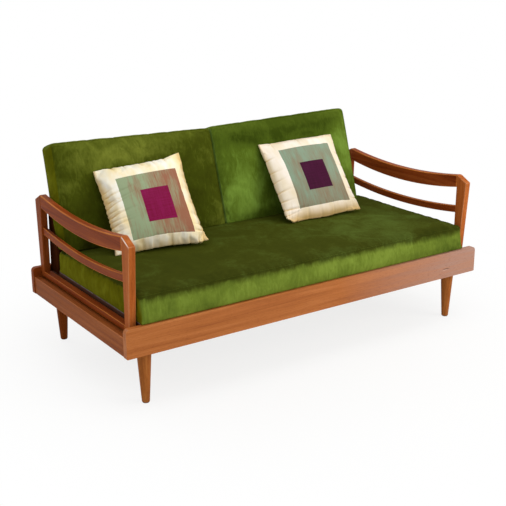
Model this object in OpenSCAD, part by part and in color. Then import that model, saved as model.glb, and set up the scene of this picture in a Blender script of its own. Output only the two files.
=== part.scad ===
// Daybed sofa: a wooden frame on four turned legs, two fold-out arms, a fixed back frame,
// a long mattress, two leaning back cushions and two loose square pillows.
// Millimetres. X runs along the length, the front faces -Y and the floor is Z = 0.

/* [Base frame] */
// Length of the front and rear rails, which is the length of the whole frame
rail_l = 1900; // [1700:10:2100]
// Depth over the outer faces of the two rails
base_d = 950; // [900:5:1050]
// Height of the front and rear rails
rail_h = 123; // [115:1:150]
// Thickness of the front and rear rails
rail_t = 26; // [22:1:32]
// Radius of the rails' upper outer corners
rail_end_r = 18; // [6:1:30]
// Radius of the rails' lower outer corners
rail_foot_r = 5; // [2:1:10]
// Thickness of the lower end boards
end_board_t = 24; // [18:1:28]
// How far the end boards stand in from the rails' ends
end_board_inset = 4; // [2:1:12]
// Thickness of the cross rails and of the centre rail
cross_rail_t = 20; // [18:1:26]
// Thickness of the rear bearer that carries the back edge of the mattress support
bearer_t = 26; // [22:1:30]
// Height of the rear bearer and the centre rail
bearer_h = 80; // [60:1:90]
// Width of the cleat along the front rail
cleat_w = 24; // [18:1:30]
// Height of the cleat along the front rail
cleat_h = 30; // [20:1:40]
// How thick the ledge under each arm is
ledge_h = 14; // [10:1:20]

/* [Legs] */
// Height from the floor to the underside of the rails
leg_h = 234; // [180:1:260]
// Diameter of a leg at its top
leg_top_d = 62; // [50:1:70]
// Diameter of a leg at its foot
leg_foot_d = 33; // [26:1:40]
// Distance of a leg's axis from the rail's end
leg_in_x = 110; // [95:0.5:130]
// Distance of a leg's axis from the rail's outer face
leg_in_y = 70; // [60:1:75]
// Length of a leg block along the sofa
block_l = 131; // [115:1:160]
// Depth of a leg block
block_d = 90; // [80:1:110]
// Height of a leg block
block_h = 40; // [32:1:50]
// Diameter of the glide under a leg
glide_d = 27; // [20:1:32]
// Height of the glide
glide_h = 3; // [2:0.5:5]
// Diameter of the threaded stud between leg and block
stud_d = 10; // [8:1:12]
// How far the stud goes into the leg
stud_in_leg = 42; // [30:1:60]
// How far the stud goes into the block
stud_in_block = 30; // [20:1:30]

/* [Arms] */
// Thickness of the arm posts and of the curved arm rail
arm_t = 31; // [26:1:36]
// Gap between an end board and the arm beside it
arm_gap = 10; // [5:1:12]
// Height of the curved arm rail above the floor, at its ends
arm_head_z = 708; // [650:1:760]
// How far the posts' heads slope down to their outer edge
head_drop = 31; // [10:1:45]
// Depth of a post at its foot
post_foot_d = 36; // [30:1:44]
// Depth of a post at its head
post_head_d = 60; // [48:1:72]
// How far the front post stands behind the front rail
front_post_gap = 22; // [8:1:24]
// How far the rear post stands before the rear rail
rear_post_gap = 3; // [3:0.5:12]
// How far the front post's inner edge leans in to its foot
front_rake = 2; // [0:1:12]
// How far the rear post's inner edge leans in to its head
rear_rake = 12; // [0:1:16]
// Height of the curved arm rail at its ends
arm_rail_h = 60; // [45:1:75]
// How far the upper edge of the curved rail sags between the posts
arm_sag = 32; // [10:1:45]
// How much deeper the curved rail is at its middle than at its ends
arm_belly = 5; // [0:1:10]
// Height of the arm's thin middle slat
arm_slat_h = 34; // [24:1:44]
// Thickness of the arm's middle slat
arm_slat_t = 18; // [12:1:22]
// Height of the slat's upper edge above the floor, at its ends
arm_slat_z = 555; // [520:1:600]
// How far the slat sags between the posts
slat_sag = 28; // [10:1:40]
// Height of the arm's foot rail
foot_rail_h = 26; // [22:1:34]
// Diameter of the pivot pins that the arms fold on
pivot_d = 10; // [8:1:12]

/* [Back frame] */
// Backward lean of the back frame and the back cushions, in degrees
lean = 17; // [10:1:22]
// Thickness of the three upright brackets
bracket_t = 24; // [18:1:30]
// Thickness of the back rails
back_rail_t = 18; // [14:1:22]
// Height of the top back rail
top_rail_h = 62; // [50:1:80]
// Height of the middle and lower back rails
mid_rail_h = 50; // [40:1:60]
// Gap along the lean between the middle and top back rails
back_rail_gap = 22; // [12:1:40]
// Height of the top of the back rails above the seat, along the lean
back_frame_h = 224; // [200:1:260]
// Depth of a bracket's top edge
bracket_top_d = 20; // [14:1:30]
// Depth of a bracket's foot, from the rear rail to the mattress support
bracket_foot_d = 119; // [110:1:140]

/* [Mattress support] */
// Width of each flange of the steel angle frame
angle_w = 25; // [20:1:30]
// Wall of the steel angle frame
angle_t = 3; // [2:0.5:4]
// Number of wooden slats
slat_count = 12; // [8:1:16]
// Width of a slat
slat_w = 60; // [45:1:80]
// Thickness of a slat
slat_t = 22; // [18:1:24]

/* [Mattress and back cushions] */
// Gap between the mattress and the left arm
mattress_left_gap = 5; // [3:1:12]
// Gap between the mattress and the right arm
mattress_right_gap = 5; // [3:1:40]
// Height of the mattress at its edges
mattress_h = 106; // [90:1:150]
// How far the top of the mattress rises to its middle
mattress_crown = 12; // [4:1:25]
// Length of mattress that the back cushions leave bare at the right end
bare_end = 96; // [20:2:120]
// Height of a back cushion along its lean
back_cushion_h = 494; // [400:1:520]
// Thickness of a back cushion at its edges
back_cushion_t = 112; // [80:1:125]
// How far the front of a back cushion swells
back_cushion_crown = 22; // [8:1:34]
// Gap between the two back cushions
cushion_seam_gap = 4; // [2:1:20]

/* [Pillows] */
// Side of the left pillow, between its corners
left_pillow_w = 413; // [380:1:430]
// Side of the right pillow, between its corners
right_pillow_w = 431; // [380:1:440]
// Thickness of a pillow in its middle
pillow_t = 128; // [90:1:130]
// Pull-in of a pillow's sides between its corners
pillow_pull = 11; // [4:1:20]
// Distance of the left pillow's middle from the mattress's left end
left_pillow_x = 368; // [250:1:500]
// Distance of the right pillow's middle from the mattress's left end
right_pillow_x = 1278; // [1100:1:1400]

/* [Hidden] */
$fn = 64;

// Clearances and overruns that the joints share
fit = 0.05;
soft_gap = 0.4;
over = 1;
cut_over = 40;

// Base frame
half_l = rail_l / 2;
rail_top = leg_h + rail_h;
inner_y = base_d / 2 - rail_t;
board_out = half_l - end_board_inset;
board_in = board_out - end_board_t;
arm_out = board_in - arm_gap;
arm_in = arm_out - arm_t;
slot_gap = 8;
angle_out = arm_in - slot_gap;
cross_in = angle_out - cross_rail_t;
fold_gap = 0.5;
ledge_gap = 1.5;
fold_drop = 9.5;
pivot_z = rail_top - fold_drop - arm_t / 2;
pivot_x = arm_out - arm_t / 2;
end_board_top = pivot_z - arm_t / 2 - fold_gap;
foot_z = pivot_z - foot_rail_h / 2;
foot_top = foot_z + foot_rail_h;
support_rise = 4;
support_top = rail_top + support_rise;
angle_z = support_top - angle_w;
bearer_z = angle_z - bearer_h;
edge_r = 3;

// Legs
leg_x = half_l - leg_in_x;
leg_y = base_d / 2 - leg_in_y;
glide_pin_d = 3;
glide_pin_l = 12;

// Mattress and its support
mattress_z = support_top + soft_gap;
support_front = -inner_y + over;
mattress_overhang = 4;
bearer_back = inner_y - bracket_foot_d;
bearer_front = bearer_back - bearer_t;
support_back = bearer_back - angle_t - over;
mattress_front = -inner_y - mattress_overhang;
mattress_back = support_back;
mattress_d = mattress_back - mattress_front;
mattress_l = 2 * arm_in - mattress_left_gap - mattress_right_gap;
mattress_left = mattress_left_gap - arm_in;
seat_z = mattress_z + mattress_h;
seat_top = seat_z + mattress_crown;
angle_in = angle_out - angle_t;

// Back cushions lean from this line, and the back frame stands behind them
cushion_y = mattress_back - back_cushion_t / cos(lean);
back_cushion_l = (mattress_l - bare_end - cushion_seam_gap) / 2;
cushion_back_swell = 4;
cushion_settle = 1.7;
back_clear = 1;
back_y = mattress_back + (cushion_back_swell + back_clear) / cos(lean);
low_rail_drop = 24;
low_rail_y = bearer_back + over;
low_rail_z = seat_z - low_rail_drop - mid_rail_h;
bracket_front = low_rail_y + back_rail_t;
bracket_out = cross_in;
top_rail_a = back_frame_h - top_rail_h;
mid_rail_a = top_rail_a - back_rail_gap - mid_rail_h;

// Posts, measured along Y: the inner edge is the one that the arm rails meet
front_inner_foot = -inner_y + front_post_gap + post_foot_d;
rear_inner_foot = inner_y - rear_post_gap - post_foot_d;
front_inner_head = front_inner_foot - front_rake;
rear_inner_head = rear_inner_foot - rear_rake;
tenon_l = 20;
tenon_t = 11;
tenon_h_share = 0.6;
tenon_drop = 3;
outer_face_h = arm_head_z - head_drop - foot_z;

// Fasteners
dowel_d = 8;
dowel_l = 30;
bolt_d = 8;
bolt_head_d = 18;
bolt_head_h = 4;
bolt_l = 70;
screw_d = 4;
screw_head_d = 8;
screw_head_h = 3;
screw_l = 45;
bush_d = 14;
bush_l = 34;
blind_web = 2;
spacer_d = 22;
spacer_gap = 0.4;
pin_in_rail = 16;

// Pillow places. A pillow stands on the mattress and leans on a cushion, so the height of its
// middle and its distance before the cushion are shares of its side. Turns are in degrees.
left_pillow_turn = [-35.6, -6.2, -14.1];
left_rise_share = 0.442;
left_stand_off_share = 0.1933;
left_pillow_at = [
    mattress_left + left_pillow_x,
    cushion_y - left_pillow_w * left_stand_off_share,
    seat_top + left_pillow_w * left_rise_share
];
right_pillow_turn = [-37.4, -2.5, -5.7];
right_rise_share = 0.416;
right_stand_off_share = 0.1639;
right_pillow_at = [
    mattress_left + right_pillow_x,
    cushion_y - right_pillow_w * right_stand_off_share,
    seat_top + right_pillow_w * right_rise_share
];

// Colours
wood = "#9c5a30";
dark_wood = "#6d3a20";
pine = "#c9a36c";
velvet = "#4d641d";
silk = "#e9dfb4";
black = "#2c2a28";
steel = "#9a9ea0";
brass = "#b59a4f";

// A board along X with its long edges rounded
module x_board(l, d, h, r = edge_r) {
    rotate([90, 0, 90]) linear_extrude(l, center = true)
        translate([r, r]) rounded_rect(d - 2 * r, h - 2 * r, r);
}

module rounded_rect(w, h, r) {
    difference() {
        translate([-r, -r]) square([w + 2 * r, h + 2 * r]);
        for (at = [[0, 0], [w, 0], [w, h], [0, h]])
            translate(at) mirror([at[0] > 0 ? 0 : 1, 0]) mirror([0, at[1] > 0 ? 0 : 1]) difference() {
                square(r + over);
                circle(r);
            }
    }
}

// Puts its children at the left and at the right
module both_sides() {
    children();
    mirror([1, 0, 0]) children();
}

// Puts its children at the front and at the rear
module both_ends() {
    children();
    mirror([0, 1, 0]) children();
}

module long_rail() {
    translate([0, -base_d / 2, leg_h]) intersection() {
        x_board(rail_l, rail_t, rail_h);
        rail_outline();
    }
}

// The rail seen from the front, with large upper and small lower corners
module rail_outline() {
    w = rail_l;
    translate([-w / 2, rail_t + over, 0]) rotate([90, 0, 0]) linear_extrude(rail_t + 2 * over)
        difference() {
            square([w, rail_h]);
            translate([w / 2, 0]) both_sides() translate([-w / 2, 0]) {
                outline_corner(0, rail_foot_r, -1);
                outline_corner(rail_h, rail_end_r, 1);
            }
        }
}

// What a rounded left corner at height y takes away: side is 1 for an upper corner, -1 for a lower
module outline_corner(y, r, side) {
    translate([r, y - side * r]) difference() {
        translate([-r - over, side > 0 ? 0 : -r - over]) square(r + over);
        circle(r);
    }
}

module front_rail() {
    color(wood) difference() {
        long_rail();
        dowels(fit);
        pins(fit);
    }
}

module rear_rail() {
    color(wood) difference() {
        mirror([0, 1, 0]) long_rail();
        dowels(fit);
        pins(fit);
        bolts(fit);
    }
}

module end_board() {
    color(wood) difference() {
        translate([-board_out, -inner_y, leg_h]) rotate([90, 0, 0]) mirror([0, 0, 1])
            linear_extrude(2 * inner_y) translate([edge_r, edge_r])
            rounded_rect(end_board_t - 2 * edge_r, end_board_top - leg_h - 2 * edge_r, edge_r);
        dowels(fit);
    }
}

// A board under the arm's foot that closes the slot between end board and cross rail
module arm_ledge() {
    top = pivot_z - norm([arm_t, foot_rail_h]) / 2 - ledge_gap;
    color(dark_wood) translate([-board_in, -inner_y, top - ledge_h])
        cube([board_in - angle_out, 2 * inner_y, ledge_h]);
}

module leg_block() {
    color(dark_wood) difference() {
        translate([-board_in, -inner_y, leg_h]) cube([block_l, block_d, block_h]);
        stud(fit);
    }
}

module leg() {
    color(wood) difference() {
        translate([-leg_x, -leg_y, glide_h])
            cylinder(h = leg_h - glide_h, d1 = leg_foot_d, d2 = leg_top_d);
        stud(fit);
        glide_pin(fit);
    }
}

module stud(gap = 0) {
    translate([-leg_x, -leg_y, leg_h - stud_in_leg])
        cylinder(h = stud_in_leg + stud_in_block, r = stud_d / 2 + gap);
}

module glide_pin(gap = 0) {
    translate([-leg_x, -leg_y, glide_h - over])
        cylinder(h = glide_pin_l + over, r = glide_pin_d / 2 + gap);
}

module glide() {
    color(black) {
        translate([-leg_x, -leg_y, 0]) cylinder(h = glide_h, d = glide_d);
        glide_pin();
    }
}

module cross_rail() {
    color(dark_wood) difference() {
        translate([-angle_out, -inner_y, leg_h + block_h])
            cube([cross_rail_t, 2 * inner_y, angle_z - leg_h - block_h]);
        dowels(fit);
    }
}

module centre_rail() {
    color(dark_wood) difference() {
        translate([-cross_rail_t / 2, -inner_y, bearer_z])
            cube([cross_rail_t, inner_y + bearer_front, bearer_h]);
        dowels(fit);
    }
}

module rear_bearer() {
    color(dark_wood) difference() {
        translate([-cross_in, bearer_front, bearer_z]) cube([2 * cross_in, bearer_t, bearer_h]);
        dowels(fit);
    }
}

module front_cleats() {
    color(pine) both_sides()
        translate([-cross_in, -inner_y, angle_z - cleat_h])
            cube([cross_in - cross_rail_t / 2, cleat_w, cleat_h]);
}

// Dowels of the base frame, or their holes when a gap is given
module dowels(gap = 0) {
    board_x = board_out - end_board_t / 2;
    rail_x = angle_out - cross_rail_t / 2;
    low_z = leg_h + 2 * dowel_d;
    high_z = end_board_top - 2 * dowel_d;
    cross_z = leg_h + block_h + (angle_z - leg_h - block_h) / 2;
    both_sides() both_ends()
        for (at = [[board_x, low_z], [board_x, high_z], [rail_x, cross_z]])
            y_dowel(-at[0], -inner_y, at[1], gap);
    y_dowel(0, -inner_y, bearer_z + bearer_h / 2, gap);
    y_dowel(0, bearer_front, bearer_z + bearer_h / 2, gap);
    both_sides() for (z = [cross_z - dowel_d, cross_z + dowel_d])
        translate([-cross_in, bearer_front + bearer_t / 2, z]) rotate([0, 90, 0])
            cylinder(h = dowel_l, r = dowel_d / 2 + gap, center = true);
}

module y_dowel(x, y, z, gap) {
    translate([x, y, z]) rotate([90, 0, 0])
        cylinder(h = dowel_l, r = dowel_d / 2 + gap, center = true);
}

// Steel angle that carries the slats
module long_angle(front) {
    y = front ? support_front : support_back;
    side = front ? 1 : -1;
    color(steel) translate([0, y, angle_z]) {
        translate([-angle_in, front ? 0 : -angle_t, 0]) cube([2 * angle_in, angle_t, angle_w]);
        translate([-angle_in, front ? 0 : -angle_w, 0]) cube([2 * angle_in, angle_w, angle_t]);
    }
}

module end_angle() {
    d = support_back - support_front;
    color(steel) {
        translate([-angle_out, support_front, angle_z]) cube([angle_t, d, angle_w]);
        translate([-angle_in, support_front + angle_w, angle_z])
            cube([angle_w - angle_t, d - 2 * angle_w, angle_t]);
    }
}

module slats() {
    y0 = support_front + angle_t + over;
    l = support_back - angle_t - over - y0;
    run = 2 * (angle_in - over) - slat_w;
    color(pine) for (i = [0:slat_count - 1])
        translate([-run / 2 - slat_w / 2 + i * run / (slat_count - 1), y0, support_top - slat_t])
            cube([slat_w, l, slat_t]);
}

// Upright board of the back frame, drawn in its side view
module bracket(x, low) {
    front_low = back_y + back_rail_t * cos(lean);
    front_z = seat_z - back_rail_t * sin(lean);
    top_y = front_low + back_frame_h * sin(lean);
    top_z = front_z + back_frame_h * cos(lean);
    color(dark_wood) difference() {
        translate([x, 0, 0]) rotate([90, 0, 90]) linear_extrude(bracket_t)
            polygon([
                [bearer_back, low], [inner_y, low], [inner_y, rail_top],
                [top_y + bracket_top_d, top_z], [top_y, top_z], [front_low, front_z],
                [bracket_front, low_rail_z + mid_rail_h], [bracket_front, angle_z], [bearer_back, angle_z]
            ]);
        bolts(fit);
        screws(fit);
    }
}

// Places its children on the leaning plane of the back frame
module on_back() {
    translate([0, back_y, seat_z]) rotate([-lean, 0, 0]) children();
}

module back_rail(a, h) {
    color(wood) difference() {
        on_back() translate([0, 0, a]) x_board(2 * bracket_out, back_rail_t, h);
        screws(fit);
    }
}

module back_low_rail() {
    color(wood) difference() {
        translate([0, low_rail_y, low_rail_z]) x_board(2 * bracket_out, back_rail_t, mid_rail_h);
        screws(fit);
    }
}

function bracket_middles() = [-bracket_out + bracket_t / 2, 0, bracket_out - bracket_t / 2];

// Screws that hold the back rails on the brackets, or their holes
module screws(gap = 0) {
    edge = 14;
    for (x = bracket_middles()) {
        on_back() for (a = [
            top_rail_a + edge, top_rail_a + top_rail_h - edge,
            mid_rail_a + edge, mid_rail_a + mid_rail_h - edge
        ]) translate([x, 0, a]) screw(gap);
        for (z = [low_rail_z + edge, low_rail_z + mid_rail_h - edge])
            translate([x, low_rail_y, z]) screw(gap);
    }
}

// A fastener along +Z with its head sunk flush, or its hole, which also opens the surface
module sunk_head(d, l, head_d, head_h, gap) {
    rise = gap > 0 ? over : 0;
    translate([0, 0, -rise]) cylinder(h = head_h + rise + gap, r = head_d / 2 + gap);
    cylinder(h = l + gap, r = d / 2 + gap);
}

module screw(gap) {
    rotate([-90, 0, 0]) sunk_head(screw_d, screw_l, screw_head_d, screw_head_h, gap);
}

// Bolts from behind, through the rear rail into the brackets, or their holes
module bolts(gap = 0) {
    low_bolt = leg_h + block_h + 2 * bolt_d;
    high_bolt = rail_top - 3 * bolt_d;
    for (x = bracket_middles(), z = [low_bolt, high_bolt])
        translate([x, base_d / 2, z]) rotate([90, 0, 0])
            sunk_head(bolt_d, bolt_l, bolt_head_d, bolt_head_h, gap);
}

// Outline of a post in its side view: side is -1 for the front post and 1 for the rear post
module post_outline(inner_foot, inner_head, side) {
    polygon([
        [inner_foot, foot_z], [inner_head, arm_head_z],
        [inner_head + side * post_head_d, arm_head_z - head_drop],
        [inner_foot + side * post_foot_d, foot_z]
    ]);
}

module front_post_outline() {
    post_outline(front_inner_foot, front_inner_head, -1);
}

module rear_post_outline() {
    post_outline(rear_inner_foot, rear_inner_head, 1);
}

// Extrudes a side view to a board of thickness t in the middle of the left arm
module arm_board(t) {
    translate([-pivot_x - t / 2, 0, 0]) rotate([90, 0, 90]) linear_extrude(t) children();
}

// The disc whose lowest point lies sag below z, and whose edge passes z at both posts
module sagging_disc(z, sag) {
    span = rear_inner_head - front_inner_head;
    r = span * span / (8 * sag) + sag / 2;
    translate([(rear_inner_head + front_inner_head) / 2, z - sag + r]) circle(r, $fn = 720);
}

// Curved board between the posts with its tenons, its upper edge at z at both ends
module sagging_board(t, z, h, sag, belly) {
    reach = rear_inner_foot - front_inner_head;
    arm_board(t) difference() {
        intersection() {
            difference() {
                sagging_disc(z - h, sag + belly);
                sagging_disc(z, sag);
            }
            translate([-reach / 2, z - h - sag - belly - over])
                square([reach, h + sag + belly + over]);
        }
        front_post_outline();
        rear_post_outline();
    }
    tenons(z, h);
}

// Tenons at both ends of a board of height h with its upper edge at z, or their mortises
module tenons(z, h, gap = 0) {
    cheek = h * tenon_h_share + 2 * gap;
    low = z - h / 2 - tenon_drop - cheek / 2;
    arm_board(tenon_t + 2 * gap) intersection() {
        translate([-base_d / 2, low]) square([base_d, cheek]);
        union() {
            difference() {
                translate([over, 0]) front_post_outline();
                translate([-tenon_l - gap, 0]) front_post_outline();
            }
            difference() {
                translate([-over, 0]) rear_post_outline();
                translate([tenon_l + gap, 0]) rear_post_outline();
            }
        }
    }
}

module post(front) {
    color(wood) difference() {
        arm_board(arm_t) if (front) front_post_outline(); else rear_post_outline();
        tenons(arm_head_z, arm_rail_h, fit);
        tenons(arm_slat_z, arm_slat_h, fit);
        bush_bores();
    }
}

module arm_rail() {
    color(wood) sagging_board(arm_t, arm_head_z, arm_rail_h, arm_sag, arm_belly);
}

module arm_slat() {
    color(wood) sagging_board(arm_slat_t, arm_slat_z, arm_slat_h, slat_sag, 0);
}

module foot_rail() {
    color(wood) arm_board(arm_t) difference() {
        translate([front_inner_foot - over, foot_z])
            square([rear_inner_foot - front_inner_foot + 2 * over, foot_rail_h]);
        front_post_outline();
        rear_post_outline();
    }
}

// The outermost place of a post's outer face within the spacer's reach
function outer_lean(side) = post_head_d - post_foot_d - side * (side < 0 ? front_rake : rear_rake);
function post_face(foot, side) = foot + side * post_foot_d
    + side * (foot_rail_h / 2 + spacer_d / 2) * outer_lean(side) / outer_face_h;
front_face = post_face(front_inner_foot, -1) - spacer_gap;
rear_face = post_face(rear_inner_foot, 1) + spacer_gap;
front_bore_end = front_inner_foot - blind_web;
rear_bore_end = rear_inner_foot + blind_web;

// A round bar on the pivot line of the left arm, from y0 to y1
module y_rod(y0, y1, r) {
    translate([-pivot_x, y0, pivot_z]) rotate([-90, 0, 0]) cylinder(h = y1 - y0, r = r);
}

// Steel pins that the arms turn on, or their blind holes in the rails
module pins(gap = 0) {
    both_sides() {
        y_rod(-inner_y - pin_in_rail - gap, front_bore_end - blind_web, pivot_d / 2 + gap);
        y_rod(rear_bore_end + blind_web, inner_y + pin_in_rail + gap, pivot_d / 2 + gap);
    }
}

module bush_bores() {
    y_rod(-inner_y, front_bore_end, bush_d / 2 + fit);
    y_rod(rear_bore_end, inner_y, bush_d / 2 + fit);
}

// Brass bushes of the left arm
module bushes() {
    color(brass) {
        bush(front_bore_end - bush_l);
        bush(rear_bore_end);
    }
}

module bush(y) {
    difference() {
        y_rod(y, y + bush_l, bush_d / 2);
        y_rod(y - over, y + bush_l + over, pivot_d / 2 + fit);
    }
}

// Washers that hold the arms off the rails
module pivot_spacers() {
    color(steel) both_sides() difference() {
        union() {
            y_rod(-inner_y, front_face, spacer_d / 2);
            y_rod(rear_face, inner_y, spacer_d / 2);
        }
        y_rod(-inner_y - over, front_face + over, pivot_d / 2 + fit);
        y_rod(rear_face - over, inner_y + over, pivot_d / 2 + fit);
    }
}

module pivot_pins() {
    color(steel) pins();
}

// Soft forms. A ring runs round a rounded rectangle, with side points shared evenly
function corner_arc(cx, cy, r, start, n) =
    [for (i = [0:n]) [cx + r * cos(start + 90 * i / n), cy + r * sin(start + 90 * i / n)]];
function side_points(a, b, n) = [for (i = [1:n]) a + (b - a) * i / (n + 1)];
function ring(a, b, r, nx, ny, nc) = concat(
    corner_arc(a - r, b - r, r, 0, nc), side_points([a - r, b], [r - a, b], nx),
    corner_arc(r - a, b - r, r, 90, nc), side_points([-a, b - r], [-a, r - b], ny),
    corner_arc(r - a, r - b, r, 180, nc), side_points([r - a, -b], [a - r, -b], nx),
    corner_arc(a - r, r - b, r, 270, nc), side_points([a, r - b], [a, b - r], ny)
);
// Draws the sides in between the corners by pull
function drawn_in(p, a, b, pull) = [
    p[0] - pull * sign(p[0]) * (1 - pow(p[1] / b, 2)) * pow(abs(p[0]) / a, 4),
    p[1] - pull * sign(p[1]) * (1 - pow(p[0] / a, 2)) * pow(abs(p[1]) / b, 4)
];
function swell(p, a, b) = sqrt(max(0, 1 - pow(p[0] / a, 4))) * sqrt(max(0, 1 - pow(p[1] / b, 4)));
// One ring of points at inset d, at the share s of that outline, and at height z plus crown
function level(a, b, r, n, d, s, z, crown, pull) =
    [for (p = ring(a - d, b - d, max(r - d, r / 3), n[0], n[1], n[2]))
        let (q = drawn_in(p, a, b, pull) * s)
        [q[0], q[1], z + crown * swell(q, a, b)]];
function band(k, m) = [for (i = [0:m - 1]) let (j = (i + 1) % m)
    each [[k * m + i, (k + 1) * m + i, k * m + j], [k * m + j, (k + 1) * m + i, (k + 1) * m + j]]];

// A boxed cushion of size [length, depth], height h, rounded edges e, that swells by top and bottom
module boxed_cushion(size, h, e, top, bottom, pull, n) {
    a = size[0] / 2;
    b = size[1] / 2;
    r = 2 * e;
    soft_share = 0.3;
    levels = concat(
        [for (s = [0.35, 0.7]) [e, s, 0, -bottom]],
        [[e, 1, 0, -bottom], [e * soft_share, 1, e * soft_share, 0], [0, 1, e, 0], [0, 1, h - e, 0],
         [e * soft_share, 1, h - e * soft_share, 0], [e, 1, h, top]],
        [for (s = [0.93, 0.82, 0.66, 0.46, 0.24]) [e, s, h, top]]
    );
    rings = [for (l = levels) level(a, b, r, n, l[0], l[1], l[2], l[3], pull)];
    m = len(rings[0]);
    k = len(rings);
    points = concat([for (g = rings) each g], [[0, 0, -bottom], [0, 0, h + top]]);
    faces = concat(
        [for (i = [0:k - 2]) each band(i, m)],
        [for (i = [0:m - 1]) [k * m, i, (i + 1) % m]],
        [for (i = [0:m - 1]) [k * m + 1, (k - 1) * m + (i + 1) % m, (k - 1) * m + i]]
    );
    polyhedron(points, faces, convexity = 4);
}

module mattress() {
    edge = 16;
    pull = 4;
    color(velvet)
        translate([mattress_left + mattress_l / 2, (mattress_front + mattress_back) / 2, mattress_z])
            boxed_cushion([mattress_l, mattress_d], mattress_h, edge, mattress_crown, 0, pull, [12, 6, 3]);
}

// A back cushion from x0 to the right, standing flat on the mattress
module back_cushion(x0) {
    edge = 18;
    pull = 5;
    color(velvet) difference() {
        translate([x0 + back_cushion_l / 2, cushion_y, seat_z]) rotate([-lean, 0, 0])
            translate([0, back_cushion_t, back_cushion_h / 2]) rotate([90, 0, 0])
                boxed_cushion([back_cushion_l, back_cushion_h], back_cushion_t, edge,
                    back_cushion_crown, cushion_back_swell, pull, [9, 6, 3]);
        translate([x0 - cut_over, cushion_y - 2 * cut_over, seat_z - 2 * cut_over])
            cube([
                back_cushion_l + 2 * cut_over, back_cushion_t + 4 * cut_over,
                2 * cut_over + mattress_crown - cushion_settle + soft_gap
            ]);
    }
}

// A pillow with a sharp seam, pointed corners and drawn-in sides, its face towards -Y
module pillow(w) {
    n = 14;
    a = w / 2;
    fullness_share = 0.42;
    cell = function (i) sin(90 * (2 * i / n - 1));
    skin = function (side) [for (j = [0:n], i = [0:n])
        let (u = cell(i), v = cell(j), fat = pow(max(0, (1 - u * u) * (1 - v * v)), fullness_share))
        [a * u - pillow_pull * u * (1 - v * v), side * pillow_t / 2 * fat,
         a * v - pillow_pull * v * (1 - u * u)]];
    m = (n + 1) * (n + 1);
    front = function (i, j) j * (n + 1) + i;
    back = function (i, j) i == 0 || j == 0 || i == n || j == n ? front(i, j) : m + front(i, j);
    // Two triangles for one cell, split along the diagonal that runs from the nearest corner
    split = function (at, i, j) (i < n / 2) == (j < n / 2)
        ? [[at(i, j), at(i, j + 1), at(i + 1, j + 1)], [at(i, j), at(i + 1, j + 1), at(i + 1, j)]]
        : [[at(i, j), at(i, j + 1), at(i + 1, j)], [at(i + 1, j), at(i, j + 1), at(i + 1, j + 1)]];
    faces = concat(
        [for (j = [0:n - 1], i = [0:n - 1]) each split(front, i, j)],
        [for (j = [0:n - 1], i = [0:n - 1]) for (f = split(back, i, j)) [f[2], f[1], f[0]]]
    );
    polyhedron(concat(skin(-1), skin(1)), faces, convexity = 4);
}

module placed_pillow(at, turn, w) {
    color(silk) translate(at) rotate([0, 0, turn[2]]) rotate([turn[0], 0, 0]) rotate([0, turn[1], 0])
        pillow(w);
}

front_rail();
rear_rail();
end_board();  // left_end_board
mirror([1, 0, 0]) end_board();  // right_end_board
arm_ledge();  // left_arm_ledge
mirror([1, 0, 0]) arm_ledge();  // right_arm_ledge
leg_block();  // leg_block_front_left
mirror([1, 0, 0]) leg_block();  // leg_block_front_right
mirror([0, 1, 0]) leg_block();  // leg_block_rear_left
mirror([0, 1, 0]) mirror([1, 0, 0]) leg_block();  // leg_block_rear_right
leg();  // leg_front_left
mirror([1, 0, 0]) leg();  // leg_front_right
mirror([0, 1, 0]) leg();  // leg_rear_left
mirror([0, 1, 0]) mirror([1, 0, 0]) leg();  // leg_rear_right
glide();  // glide_front_left
mirror([1, 0, 0]) glide();  // glide_front_right
mirror([0, 1, 0]) glide();  // glide_rear_left
mirror([0, 1, 0]) mirror([1, 0, 0]) glide();  // glide_rear_right
color(steel) both_sides() both_ends() stud();  // leg_studs
cross_rail();  // left_cross_rail
mirror([1, 0, 0]) cross_rail();  // right_cross_rail
centre_rail();
rear_bearer();
front_cleats();
color(pine) dowels();  // frame_dowels
long_angle(true);  // front_angle
long_angle(false);  // rear_angle
end_angle();  // left_angle
mirror([1, 0, 0]) end_angle();  // right_angle
slats();
bracket(-bracket_out, leg_h + block_h);  // left_bracket
bracket(-bracket_t / 2, bearer_z);  // centre_bracket
bracket(bracket_out - bracket_t, leg_h + block_h);  // right_bracket
back_rail(top_rail_a, top_rail_h);  // back_top_rail
back_rail(mid_rail_a, mid_rail_h);  // back_mid_rail
back_low_rail();
color(steel) screws();  // back_screws
color(steel) bolts();  // bracket_bolts
post(true);  // left_front_post
post(false);  // left_rear_post
arm_rail();  // left_arm_rail
arm_slat();  // left_arm_slat
foot_rail();  // left_foot_rail
mirror([1, 0, 0]) post(true);  // right_front_post
mirror([1, 0, 0]) post(false);  // right_rear_post
mirror([1, 0, 0]) arm_rail();  // right_arm_rail
mirror([1, 0, 0]) arm_slat();  // right_arm_slat
mirror([1, 0, 0]) foot_rail();  // right_foot_rail
bushes();  // left_bushes
mirror([1, 0, 0]) bushes();  // right_bushes
pivot_pins();
pivot_spacers();
mattress();
back_cushion(mattress_left);  // left_back_cushion
back_cushion(mattress_left + back_cushion_l + cushion_seam_gap);  // right_back_cushion
placed_pillow(left_pillow_at, left_pillow_turn, left_pillow_w);  // left_pillow
placed_pillow(right_pillow_at, right_pillow_turn, right_pillow_w);  // right_pillow
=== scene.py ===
import math

import bmesh
import bpy
import numpy as np
from mathutils import Matrix, Vector
from mathutils.bvhtree import BVHTree


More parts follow.
